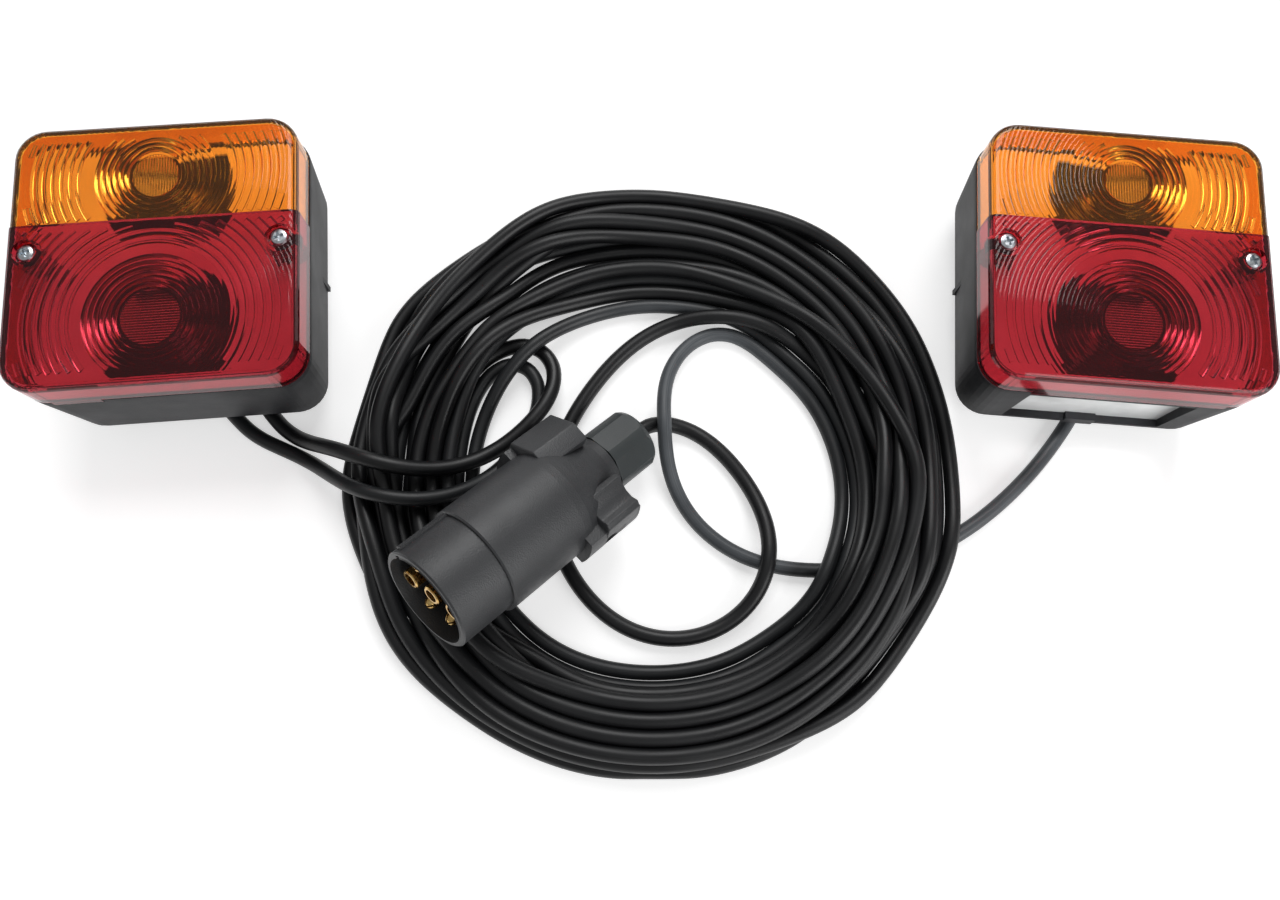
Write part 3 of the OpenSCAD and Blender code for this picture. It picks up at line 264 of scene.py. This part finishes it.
def settle(strands, radii, rounds, step):
    """Lets the strands fall, bend, keep their length and come to rest on each other and the floor."""
    parts = [evenly(s, step) for s in strands]
    split, n = len(parts[0][0]), len(parts[0][0]) + len(parts[1][0])
    x = np.vstack([p for p, _ in parts])
    plan = x.copy()
    radius = np.r_[np.full(split, radii[0]), np.full(n - split, radii[1])]
    cord = (np.arange(n) >= split).astype(int)
    rest = np.r_[np.full(split - 1, parts[0][1]), 0, np.full(n - split - 1, parts[1][1])]
    seg = np.array([i for i in range(n - 1) if i != split - 1])
    free = np.ones(n)
    free[:3] = free[split - 2:split] = free[split:split + 2] = free[n - 2:] = 0
    speed = np.zeros_like(x)
    for turn in range(rounds):
        speed *= drag if turn < rounds * 0.8 else last_drag
        speed[:, 2] -= fall
        p = x + speed * free[:, None]
        p[:, :2] += kept_plan * free[:, None] * (plan[:, :2] - p[:, :2])
        if turn % 10 == 0:
            i, j = near_pairs(p, seg, cord, step + 9)
        for again in range(4):
            keep_length(p, seg, rest, free)
            keep_stiff(p, free, 0, split)
            keep_stiff(p, free, split, n)
            push_apart(p, i, j, radius, free)
            keep_in(p, radius, free > 0)
        speed = np.clip(p - x, -2, 2) * free[:, None]
        x = p
    return x[:split], x[split:]


main_start = np.vstack([stacked(plug_end_route, plug_end_stack)[:-2],
                        thrown(54, 145 - 360 * 12, main_turns),
                        stacked(main_lamp_route, main_lamp_stack)[::-1]])
link_start = np.vstack([stacked(link_left_route, link_left_stack),
                        thrown(149, 19 + 360 * 4, link_turns),
                        stacked(link_loop_route, link_loop_stack), through(link_right_route)])
main_path, link_path = settle((main_start, link_start), (main_r, link_r),
                              520, 9)


def srgb(code):
    """Linear colour of an sRGB hex code such as '3a3d3d'."""
    part = [int(code[k:k + 2], 16) / 255 for k in (0, 2, 4)]
    return tuple(c / 12.92 if c <= 0.04045 else ((c + 0.055) / 1.055) ** 2.4 for c in part) + (1,)


def add(tree, kind, settings=None, **inputs):
    """Adds a node, sets its settings and sets or links its inputs, by name or as _0, _1 by number.
    The setting "stops" gives a colour ramp its places and hex colours."""
    node = tree.nodes.new(kind)
    for key, value in (settings or {}).items():
        if key == "stops":
            for stop, (place, code) in zip(node.color_ramp.elements, value):
                stop.position = place
                stop.color = srgb(code)
        else:
            setattr(node, key, value)
    for key, value in inputs.items():
        socket = node.inputs[int(key[1:])] if key[0] == "_" else node.inputs[key.replace("_", " ")]
        if isinstance(value, bpy.types.NodeSocket):
            tree.links.new(value, socket)
        else:
            socket.default_value = value
    return node


def finish(name, **sockets):
    """A new material with its shader's own sockets set; returns material, tree and shader."""
    material = bpy.data.materials.new(name)
    material.use_nodes = True
    shader = material.node_tree.nodes["Principled BSDF"]
    for key, value in sockets.items():
        shader.inputs[key.replace("_", " ")].default_value = value
    return material, material.node_tree, shader


dust_per_m, skin_grain_per_m = 38, 1400         # noise cells in a metre


def cable_rubber(name, dark, light, rough, paler_right=None):
    """Extruded rubber sheath: close soft gloss, faint drag lines along it, dull dusty patches.
    The last argument gives the two colours of the free loop and tail at the right, which are drawn paler
    grey."""
    material, tree, shader = finish(name, IOR=1.44)
    at = add(tree, "ShaderNodeTexCoord")
    patch = add(tree, "ShaderNodeTexNoise", _0=at.outputs["Object"], Scale=dust_per_m, Detail=3)
    lay = add(tree, "ShaderNodeMapping", Vector=at.outputs["UV"], Scale=(1, 9, 1))
    drag = add(tree, "ShaderNodeTexNoise", _0=lay.outputs[0], Scale=5, Detail=2)
    fine = add(tree, "ShaderNodeTexNoise", _0=at.outputs["Object"], Scale=skin_grain_per_m, Detail=2)
    both = add(tree, "ShaderNodeMath", {"operation": "MULTIPLY"}, _0=patch.outputs[0], _1=drag.outputs[0])
    colour = add(tree, "ShaderNodeValToRGB", {"stops": ((0.12, dark), (0.42, light))},
                 _0=both.outputs[0]).outputs[0]
    # Paler grey at the free loop and tail at the right, picked out by distance from the coil's middle and
    # by x.
    if paler_right:
        place = add(tree, "ShaderNodeSeparateXYZ", _0=at.outputs["Object"])
        middle = add(tree, "ShaderNodeMapping", Vector=at.outputs["Object"],
                     Location=(0, -coil_centre[1] / 1000, 0))
        far = add(tree, "ShaderNodeVectorMath", {"operation": "LENGTH"}, _0=middle.outputs[0])
        loop = add(tree, "ShaderNodeMapRange", Value=far.outputs["Value"], _1=0.066, _2=0.073, _3=1, _4=0)
        tail = add(tree, "ShaderNodeMapRange", Value=far.outputs["Value"], _1=0.119, _2=0.126)
        rightward = add(tree, "ShaderNodeMapRange", Value=place.outputs[0], _1=-0.04, _2=0.01)
        part = add(tree, "ShaderNodeMath", {"operation": "ADD"}, _0=loop.outputs[0], _1=tail.outputs[0])
        part = add(tree, "ShaderNodeMath", {"operation": "MULTIPLY"},
                   _0=part.outputs[0], _1=rightward.outputs[0])
        grey = add(tree, "ShaderNodeValToRGB", {"stops": ((0.12, paler_right[0]), (0.42, paler_right[1]))},
                   _0=both.outputs[0])
        colour = add(tree, "ShaderNodeMix", {"data_type": "RGBA"},
                     _0=part.outputs[0], _6=colour, _7=grey.outputs[0]).outputs[2]
    tree.links.new(colour, shader.inputs["Base Color"])
    spread = add(tree, "ShaderNodeMapRange", Value=patch.outputs[0],
                 _1=0.3, _2=0.7, _3=rough - 0.06, _4=rough + 0.1)
    tree.links.new(spread.outputs[0], shader.inputs["Roughness"])
    height = add(tree, "ShaderNodeMath", {"operation": "ADD"}, _0=drag.outputs[0], _1=fine.outputs[0])
    bump = add(tree, "ShaderNodeBump", Strength=0.12, Distance=0.0002, Height=height.outputs[0])
    tree.links.new(bump.outputs[0], shader.inputs["Normal"])
    return material


def lead(name, path, radius, material):
    """One smooth round cable along the settled points."""
    p = through(path, 4) / 1000
    p[:, 2] = np.maximum(p[:, 2], radius / 1000)
    curve = bpy.data.curves.new(name, "CURVE")
    curve.dimensions = "3D"
    curve.bevel_depth = radius / 1000
    curve.bevel_resolution = 4
    curve.use_fill_caps = True
    spline = curve.splines.new("POLY")
    spline.points.add(len(p) - 1)
    spline.points.foreach_set("co", np.column_stack([p, np.ones(len(p))]).ravel())
    spline.use_smooth = True
    curve.materials.append(material)
    made = bpy.data.objects.new(name, curve)
    bpy.context.scene.collection.objects.link(made)
    return made, float(np.linalg.norm(np.diff(p, axis=0), axis=1).sum())


black_rubber = cable_rubber("Cable sheath, black rubber", "08080a", "17181a", 0.4)
greyer_rubber = cable_rubber("Cable sheath, greyer rubber", "131416", "232527", 0.42,
                             ("3a3d40", "5d6165"))
main_lead, main_length = lead("main_lead", main_path, main_r, black_rubber)
link_lead, link_length = lead("link_lead", link_path, link_r, greyer_rubber)
print("lead lengths m", round(main_length, 3), round(link_length, 3))
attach(main_lead, "root")
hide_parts("cable_coil", "main_lead_plug_end", "main_lead_lamp_end")
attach(link_lead, "root")
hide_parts("link_lead_left", "link_lead_loop", "link_lead_right")

# The paper looks white to the camera and in gloss and glass.
floor_size = 6.0                                # m
paper_grain_per_m = 900
paper, tree, shader = finish("Paper, matt white", Roughness=0.9, Base_Color=srgb("e9e9e9"))
grain = add(tree, "ShaderNodeTexNoise", _0=add(tree, "ShaderNodeTexCoord").outputs["Object"],
            Scale=paper_grain_per_m)
rise = add(tree, "ShaderNodeBump", Strength=0.05, Distance=0.0001, Height=grain.outputs[0])
tree.links.new(rise.outputs[0], shader.inputs["Normal"])
seen = add(tree, "ShaderNodeLightPath")
direct = add(tree, "ShaderNodeMath", {"operation": "MAXIMUM"},
             _0=seen.outputs["Is Camera Ray"], _1=seen.outputs["Is Glossy Ray"])
direct = add(tree, "ShaderNodeMath", {"operation": "MAXIMUM"},
             _0=direct.outputs[0], _1=seen.outputs["Is Transmission Ray"])
glow = add(tree, "ShaderNodeMath", {"operation": "MULTIPLY"}, _0=direct.outputs[0], _1=0.5)
tree.links.new(glow.outputs[0], shader.inputs["Emission Strength"])
shader.inputs["Emission Color"].default_value = (1, 1, 1, 1)
floor_mesh = bpy.data.meshes.new("floor")
h = floor_size / 2
floor_mesh.from_pydata([(-h, -h, 0), (h, -h, 0), (h, h, 0), (-h, h, 0)], [], [(0, 1, 2, 3)])
floor_mesh.materials.append(paper)
floor = bpy.data.objects.new("floor", floor_mesh)
bpy.context.scene.collection.objects.link(floor)

room = bpy.data.worlds.new("room")
room.use_nodes = True
tree = room.node_tree
back = tree.nodes["Background"]
seen = add(tree, "ShaderNodeLightPath")
direct = add(tree, "ShaderNodeMapRange", Value=seen.outputs["Is Camera Ray"], _3=0.32, _4=1.0)
tree.links.new(direct.outputs[0], back.inputs["Strength"])
back.inputs["Color"].default_value = (1, 1, 1, 1)
bpy.context.scene.world = room


def soft_box(name, at, aim, size, watts):
    """A square studio lamp with a white cloth front."""
    data = bpy.data.lights.new(name, "AREA")
    data.shape, data.size, data.energy = "SQUARE", size, watts
    lamp = bpy.data.objects.new(name, data)
    turn = (Vector(at) - Vector(aim)).to_track_quat("Z", "Y").to_matrix().to_4x4()
    lamp.matrix_world = Matrix.Translation(at) @ turn
    bpy.context.scene.collection.objects.link(lamp)


kit_middle = (0, -0.05, 0)
soft_box("soft_box_back", (0.15, 1.3, 1.5), kit_middle, 1.2, 23)
soft_box("soft_box_front", (1.0, -0.9, 0.75), kit_middle, 1.0, 12)

# Lamp housings
# Black moulded ABS tubs. The mould was spark-finished, so the walls have a fine matt grain with
# a grey sheen, slightly polished in patches by handling. The window's clip is the same plastic.
handled_per_m = 24                              # patches of handling in a metre


def node_finish(material, *names):
    """Gives CAD nodes a material by their slots; their meshes stay as they are."""
    for name in names:
        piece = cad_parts[name]
        if not piece.material_slots:
            piece.data.materials.append(material)
        for slot in piece.material_slots:
            slot.material = material


def moulded(name, dark, light, rough, grain_mm, depth, ior=1.52):
    """Spark-finished moulding: fine grain and slow patches of handling."""
    material, tree, shader = finish(name, IOR=ior)
    at = add(tree, "ShaderNodeTexCoord").outputs["Object"]
    grit = add(tree, "ShaderNodeTexVoronoi", _0=at, Scale=1000 / grain_mm)
    fine = add(tree, "ShaderNodeTexNoise", _0=at, Scale=600 / grain_mm, Detail=4)
    patch = add(tree, "ShaderNodeTexNoise", _0=at, Scale=handled_per_m, Detail=4, Roughness=0.6)
    colour = add(tree, "ShaderNodeValToRGB", {"stops": ((0.3, dark), (0.72, light))}, _0=patch.outputs[0])
    tree.links.new(colour.outputs[0], shader.inputs["Base Color"])
    spread = add(tree, "ShaderNodeMapRange", Value=patch.outputs[0],
                 _1=0.3, _2=0.7, _3=rough + 0.06, _4=rough - 0.06)
    tree.links.new(spread.outputs[0], shader.inputs["Roughness"])
    height = add(tree, "ShaderNodeMath", {"operation": "ADD"}, _0=grit.outputs[0], _1=fine.outputs[0])
    bump = add(tree, "ShaderNodeBump", Strength=depth, Distance=0.0002, Height=height.outputs[0])
    tree.links.new(bump.outputs[0], shader.inputs["Normal"])
    return material


abs_black = moulded("ABS, black, spark-finished mould", "1c1c1e", "2f3033", 0.5, 0.5, 0.25, 1.27)
node_finish(abs_black, "left_housing", "right_housing", "window_clip")

# Lenses
# Two injection-moulded acrylic lenses on each lamp, one dyed amber and one dyed red, welded
# along the colour line. The ribs and rings are on the inside, the outside is glass smooth.
amber_eye, red_eye = (0.1798, 0.0294), (0.17546, -0.02592)    # m, of the right lamp
eye_rings_mm = 1.6                              # pitch of the fine rings round each bulb's eye
dye_cloud_per_m = 30
wave_pitch = 2 * math.pi / 20                   # m, of a wave texture at scale 1


def dyed_acrylic(name, deep, pale, eye, eye_r):
    """Polished dyed acrylic: a clear deep colour, hard gloss, fine rings round the bulb's eye and
    hair scratches from road dirt. The IOR is below acrylic's 1.49, so that the source's tall ribs
    bend the view as the real low ones do."""
    material, tree, shader = finish(name, IOR=1.38, Transmission_Weight=0.97)
    at = add(tree, "ShaderNodeTexCoord").outputs["Object"]
    patch = add(tree, "ShaderNodeTexNoise", _0=at, Scale=dye_cloud_per_m, Detail=2)
    colour = add(tree, "ShaderNodeValToRGB", {"stops": ((0.35, deep), (0.7, pale))}, _0=patch.outputs[0])
    tree.links.new(colour.outputs[0], shader.inputs["Base Color"])
    hair = add(tree, "ShaderNodeMapping", Vector=at, Rotation=(0, 0, 0.6), Scale=(60, 1400, 60))
    scratch = add(tree, "ShaderNodeTexNoise", _0=hair.outputs[0], Scale=1, Detail=1)
    dull = add(tree, "ShaderNodeMapRange", Value=scratch.outputs[0], _1=0.66, _2=0.74, _3=0.07, _4=0.18)
    tree.links.new(dull.outputs[0], shader.inputs["Roughness"])
    centred = add(tree, "ShaderNodeMapping", Vector=at, Location=(-eye[0], -eye[1], 0))
    rings = add(tree, "ShaderNodeTexWave", {"wave_type": "RINGS", "rings_direction": "Z"},
                _0=centred.outputs[0], Scale=wave_pitch / (eye_rings_mm / 1000))
    on_plan = add(tree, "ShaderNodeVectorMath", {"operation": "MULTIPLY"},
                  _0=centred.outputs[0], _1=(1, 1, 0))
    far = add(tree, "ShaderNodeVectorMath", {"operation": "LENGTH"}, _0=on_plan.outputs[0])
    outside = add(tree, "ShaderNodeMapRange", Value=far.outputs["Value"], _1=eye_r, _2=eye_r + 0.001)
    face = add(tree, "ShaderNodeNewGeometry").outputs["True Normal"]
    facing = add(tree, "ShaderNodeSeparateXYZ", _0=face)
    flat = add(tree, "ShaderNodeMath", {"operation": "ABSOLUTE"}, _0=facing.outputs[2])
    flat = add(tree, "ShaderNodeMath", {"operation": "GREATER_THAN"}, _0=flat.outputs[0], _1=0.9)
    part = add(tree, "ShaderNodeMath", {"operation": "MULTIPLY"}, _0=outside.outputs[0], _1=flat.outputs[0])
    height = add(tree, "ShaderNodeMath", {"operation": "MULTIPLY"}, _0=rings.outputs[0], _1=part.outputs[0])
    rise = add(tree, "ShaderNodeBump", Strength=0.2, Distance=0.0003, Height=height.outputs[0])
    tree.links.new(rise.outputs[0], shader.inputs["Normal"])
    return material


for side, x in (("left", -1), ("right", 1)):
    amber = dyed_acrylic("Acrylic, amber, " + side, "e4932b", "eb9e36",
                         (amber_eye[0] * x, amber_eye[1]), 0.009)
    red = dyed_acrylic("Acrylic, red, " + side, "a82836", "b43340",
                       (red_eye[0] * x, red_eye[1]), 0.011)
    for material, name in ((amber, side + "_lens_amber"), (red, side + "_lens_red")):
        node_finish(material, name)
        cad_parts[name].visible_shadow = False  # daylight reaches the reflector below

# Lens seals, cable boots and grommet
# Soft black EPDM mouldings, pressed in place between harder pieces: no shine, slightly chalky,
# with the fine pits of cheap rubber.
epdm = moulded("EPDM rubber, black", "101011", "1c1c1d", 0.62, 0.4, 0.15)
node_finish(epdm, "left_lens_seal", "right_lens_seal", "left_cable_boots", "right_cable_boot",
            "right_blanking_grommet", "gland_seal")

# Reflector plates and number plate window
# The plate under the lens is pressed white plastic that throws the light forward. The window in the right
# lamp's lower wall is a hazed polystyrene pane, drawn mostly pale white: partly its haze, partly painted
# light of the lit white inside seen through it.
plate_cloud_per_m, pane_haze_per_m = 60, 70
pane_ribs_scale = 55                            # of a wave texture, for ribs 5.7 mm apart
plate, tree, shader = finish("Polystyrene, white, semi-gloss", Roughness=0.35)
at = add(tree, "ShaderNodeTexCoord").outputs["Object"]
patch = add(tree, "ShaderNodeTexNoise", _0=at, Scale=plate_cloud_per_m, Detail=3)
colour = add(tree, "ShaderNodeValToRGB", {"stops": ((0.3, "ecece8"), (0.7, "f6f6f3"))}, _0=patch.outputs[0])
tree.links.new(colour.outputs[0], shader.inputs["Base Color"])
node_finish(plate, "left_reflector", "right_reflector")

# Painted light in part: the pale white and low transmission stand for the lit white inside seen through the
# pane, on top of its real haze.
pane, tree, shader = finish("Polystyrene, hazed, painted pale", IOR=1.5, Transmission_Weight=0.35, Roughness=0.25)
at = add(tree, "ShaderNodeTexCoord").outputs["Object"]
haze = add(tree, "ShaderNodeTexNoise", _0=at, Scale=pane_haze_per_m, Detail=3)
colour = add(tree, "ShaderNodeValToRGB", {"stops": ((0.3, "e2e4e4"), (0.7, "fafbfb"))}, _0=haze.outputs[0])
tree.links.new(colour.outputs[0], shader.inputs["Base Color"])
ribs = add(tree, "ShaderNodeTexWave", {"wave_type": "BANDS", "bands_direction": "X"},
           _0=at, Scale=pane_ribs_scale)
bump = add(tree, "ShaderNodeBump", Strength=0.15, Distance=0.0003, Height=ribs.outputs[0])
tree.links.new(bump.outputs[0], shader.inputs["Normal"])
node_finish(pane, "plate_window")
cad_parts["plate_window"].visible_shadow = False

# Screws, studs, nuts, magnet cups, sockets and contact strips
# Screws, studs and nuts are zinc-plated steel: bright, slightly blue, with the faint cloud that
# barrel plating leaves. The cups are tinned and the sockets blackened steel, and the strips and
# bulb caps are brass.


def plated(name, dark, light, rough, cloud_per_m):
    """Plated or bare metal: clear reflections broken by a faint cloud in the plating."""
    material, tree, shader = finish(name, Metallic=1)
    at = add(tree, "ShaderNodeTexCoord").outputs["Object"]
    patch = add(tree, "ShaderNodeTexNoise", _0=at, Scale=cloud_per_m, Detail=4)
    colour = add(tree, "ShaderNodeValToRGB", {"stops": ((0.3, dark), (0.7, light))}, _0=patch.outputs[0])
    tree.links.new(colour.outputs[0], shader.inputs["Base Color"])
    spread = add(tree, "ShaderNodeMapRange", Value=patch.outputs[0],
                 _1=0.3, _2=0.7, _3=rough, _4=rough + 0.14)
    tree.links.new(spread.outputs[0], shader.inputs["Roughness"])
    bump = add(tree, "ShaderNodeBump", Strength=0.06, Distance=0.0001, Height=patch.outputs[0])
    tree.links.new(bump.outputs[0], shader.inputs["Normal"])
    return material


zinc = plated("Steel, zinc-plated", "b4bac0", "dfe4e8", 0.24, 700)
node_finish(zinc, "left_lens_screws", "right_lens_screws", "carrier_screws",
            "left_magnet_studs", "right_magnet_studs", "left_stud_nuts", "right_stud_nuts")
tin = plated("Steel, tinned, dull", "6e7072", "8c8e90", 0.38, 300)
node_finish(tin, "left_magnet_cups", "right_magnet_cups")
blued = plated("Steel, blackened sockets", "2c2a29", "434140", 0.45, 300)
node_finish(blued, "left_bulb_sockets", "right_bulb_sockets")
strip_brass = plated("Brass strip, tarnished", "8a6a3c", "b08a50", 0.35, 300)
node_finish(strip_brass, "left_contact_strips", "right_contact_strips")
cap_nickel = plated("Brass, nickel-plated", "6d6a64", "9a968d", 0.34, 300)
node_finish(cap_nickel, "left_indicator_cap", "left_stop_cap", "right_indicator_cap", "right_stop_cap")

# Bulb glass
# Thin blown glass, quite clear. The source draws it solid, so the low IOR keeps it from acting
# as a thick lens.
bulbs = ("left_indicator", "left_stop", "right_indicator", "right_stop")
glass, tree, shader = finish("Blown bulb glass", IOR=1.12, Transmission_Weight=1.0, Roughness=0.0,
                             Base_Color=srgb("f7faf9"))
glass_wave_per_m = 90
at = add(tree, "ShaderNodeTexCoord").outputs["Object"]
wave = add(tree, "ShaderNodeTexNoise", _0=at, Scale=glass_wave_per_m)
bump = add(tree, "ShaderNodeBump", Strength=0.05, Distance=0.0004, Height=wave.outputs[0])
tree.links.new(bump.outputs[0], shader.inputs["Normal"])
for bulb in bulbs:
    node_finish(glass, bulb + "_glass")
    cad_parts[bulb + "_glass"].visible_shadow = False

# Bulb filaments
# A coiled tungsten filament across each bulb, carried on two nickel support wires that come out
# of the cap. The coil lies level and across the bulb's own axis.
coil_long, coil_radius, wire_radius, legs_long = 0.0065, 0.0006, 0.00016, 0.0095
filament_turns = 9

tungsten = plated("Tungsten and nickel wire", "6a6763", "a8a49c", 0.35, 400)
filament_tree = bpy.data.node_groups.new("filament", "GeometryNodeTree")
filament_tree.interface.new_socket("Geometry", in_out="OUTPUT", socket_type="NodeSocketGeometry")
socket_of = {}
for name, value in (("Coil length", coil_long), ("Coil radius", coil_radius),
                    ("Wire radius", wire_radius), ("Legs", legs_long)):
    made = filament_tree.interface.new_socket(name, in_out="INPUT", socket_type="NodeSocketFloat")
    made.default_value = value
    socket_of[name] = made.identifier
given = add(filament_tree, "NodeGroupInput").outputs
spiral = add(filament_tree, "GeometryNodeCurveSpiral", Resolution=14,
             Rotations=float(filament_turns), Start_Radius=given["Coil radius"],
             End_Radius=given["Coil radius"], Height=given["Coil length"])
half = add(filament_tree, "ShaderNodeMath", {"operation": "MULTIPLY"}, _0=given["Coil length"], _1=0.5)
minus = add(filament_tree, "ShaderNodeMath", {"operation": "MULTIPLY"}, _0=half.outputs[0], _1=-1.0)
coil_start = add(filament_tree, "ShaderNodeCombineXYZ", Y=minus.outputs[0])
coil = add(filament_tree, "GeometryNodeTransform", Geometry=spiral.outputs[0],
           Rotation=(-math.pi / 2, 0, 0), Translation=coil_start.outputs[0])
wires = add(filament_tree, "GeometryNodeJoinGeometry")
filament_tree.links.new(coil.outputs[0], wires.inputs[0])
for y in (half.outputs[0], minus.outputs[0]):
    leg_top = add(filament_tree, "ShaderNodeCombineXYZ", Y=y)
    leg_foot = add(filament_tree, "ShaderNodeCombineXYZ", X=given["Legs"], Y=y)
    leg = add(filament_tree, "GeometryNodeCurvePrimitiveLine",
              Start=leg_top.outputs[0], End=leg_foot.outputs[0])
    filament_tree.links.new(leg.outputs[0], wires.inputs[0])
section = add(filament_tree, "GeometryNodeCurvePrimitiveCircle", Resolution=6, Radius=given["Wire radius"])
solid = add(filament_tree, "GeometryNodeCurveToMesh", Curve=wires.outputs[0],
            Profile_Curve=section.outputs[0], Fill_Caps=True)
real = add(filament_tree, "GeometryNodeRealizeInstances", Geometry=solid.outputs[0])
dressed = add(filament_tree, "GeometryNodeSetMaterial", Geometry=real.outputs[0], Material=tungsten)
filament_tree.links.new(dressed.outputs[0], add(filament_tree, "NodeGroupOutput").inputs[0])


def grown(name, group, **values):
    """The plain mesh that a node tree makes, with the modifier's inputs set by identifier."""
    seed = bpy.data.objects.new("seed", bpy.data.meshes.new("seed"))
    bpy.context.scene.collection.objects.link(seed)
    modifier = seed.modifiers.new("tree", "NODES")
    modifier.node_group = group
    for key, value in values.items():
        modifier[socket_of[key.replace("_", " ")]] = value
    mesh = bpy.data.meshes.new_from_object(seed.evaluated_get(bpy.context.evaluated_depsgraph_get()))
    bpy.data.objects.remove(seed)
    made = bpy.data.objects.new(name, mesh)
    bpy.context.scene.collection.objects.link(made)
    return made


lamp_apart, lamp_turn = 0.1775, math.radians(4.5)    # m from the middle, and turned towards it
indicator_up, stop_up, bulb_z = 0.0295, -0.026, 0.027    # m, from the lamp's centre and the floor
for bulb in bulbs:
    x = -1 if bulb.startswith("left") else 1
    up = indicator_up if bulb.endswith("indicator") else stop_up
    filament = grown(bulb + "_filament", filament_tree, Coil_length=coil_long)
    filament.data.transform(Matrix.Translation((x * lamp_apart, 0, 0))
                            @ Matrix.Rotation(-x * lamp_turn, 4, "Z")
                            @ Matrix.Translation((0, up, bulb_z)) @ Matrix.Scale(-x, 4, (1, 0, 0)))
    if x > 0:
        filament.data.flip_normals()
    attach(filament, "root")

# Ring magnets
# Two sintered ferrite rings in the steel cups under each lamp, charcoal grey and chalky, with
# the grinding left on the flat face that holds the lamp to the vehicle.
ferrite = moulded("Ferrite, sintered", "2b2b2d", "3b3b3d", 0.6, 0.3, 0.2)
node_finish(ferrite, "left_ring_magnets", "right_ring_magnets")

# Plug
# Glass-filled nylon shell in two mouldings with a coarser matt grain than the lamps, a black
# contact carrier, and a smoother gland nut.
nylon = moulded("Nylon, glass-filled, matt", "2b2c2e", "3d3e40", 0.44, 0.5, 0.35)
node_finish(nylon, "plug_barrel", "plug_body")
nut_nylon = moulded("Nylon, gland nut, smooth", "2c3031", "404546", 0.34, 0.4, 0.15)
node_finish(nut_nylon, "gland_nut")
carrier = moulded("Nylon, contact carrier", "0d0d0e", "171718", 0.5, 0.4, 0.1)
node_finish(carrier, "contact_carrier")

# Plug finger grips
# Two raised grips moulded with the rear body, over its wings: the upper one a ridged block, the
# lower one an ear with a shallow dish for the thumb. Corners are rounded by the mould.
grip_from = 25.5                                # mm from the gland's end
across = Vector((math.cos(plug_heading + math.pi / 2), math.sin(plug_heading + math.pi / 2), 0))
along = Vector(plug_axis)
upright = along.cross(across)
upper_outline = ((7, 4), (7, 17.4), (14.5, 18), (24.6, 10), (24.8, 1), (20, -3))
lower_outline = ((9, 3), (9, 14.4), (11.5, 15.6), (13.5, 12.9), (16.5, 11.3), (19.5, 11.1),
                 (22.2, 12.4), (24, 10.6), (24.8, 4), (20, -3))
for name, side, grip_to, outline in (("plug_grip_upper", -1, 46.5, upper_outline),
                                     ("plug_grip_lower", 1, 42, lower_outline)):
    mesh = bmesh.new()
    ends = []
    for s in (grip_from, grip_to):
        middle = Vector(gland_end) + along * s
        ends.append([mesh.verts.new((middle + across * (side * u) + upright * v) / 1000)
                     for u, v in outline])
    n = len(outline)
    for k in range(n):
        mesh.faces.new((ends[0][k], ends[0][(k + 1) % n], ends[1][(k + 1) % n], ends[1][k]))
    mesh.faces.new(ends[0][::-1])
    mesh.faces.new(ends[1])
    bmesh.ops.recalc_face_normals(mesh, faces=mesh.faces)
    sharp = [edge for edge in mesh.edges if edge.calc_face_angle(0) > 0.5]
    bmesh.ops.bevel(mesh, geom=sharp, offset=0.0006, segments=3, profile=0.6, affect="EDGES",
                    clamp_overlap=True)
    grip_mesh = bpy.data.meshes.new(name)
    mesh.to_mesh(grip_mesh)
    mesh.free()
    grip_mesh.shade_smooth()
    grip_mesh.materials.append(nylon)
    grip = bpy.data.objects.new(name, grip_mesh)
    bpy.context.scene.collection.objects.link(grip)
    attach(grip, "root")

# Plug contacts
# Three tubes and four split pins of turned brass, set in the carrier, with a faint random cloud in their
# colour and shine.
brass = plated("Brass, turned", "b8873f", "e8c987", 0.2, 500)
node_finish(brass, "contact_tubes", "contact_pins")
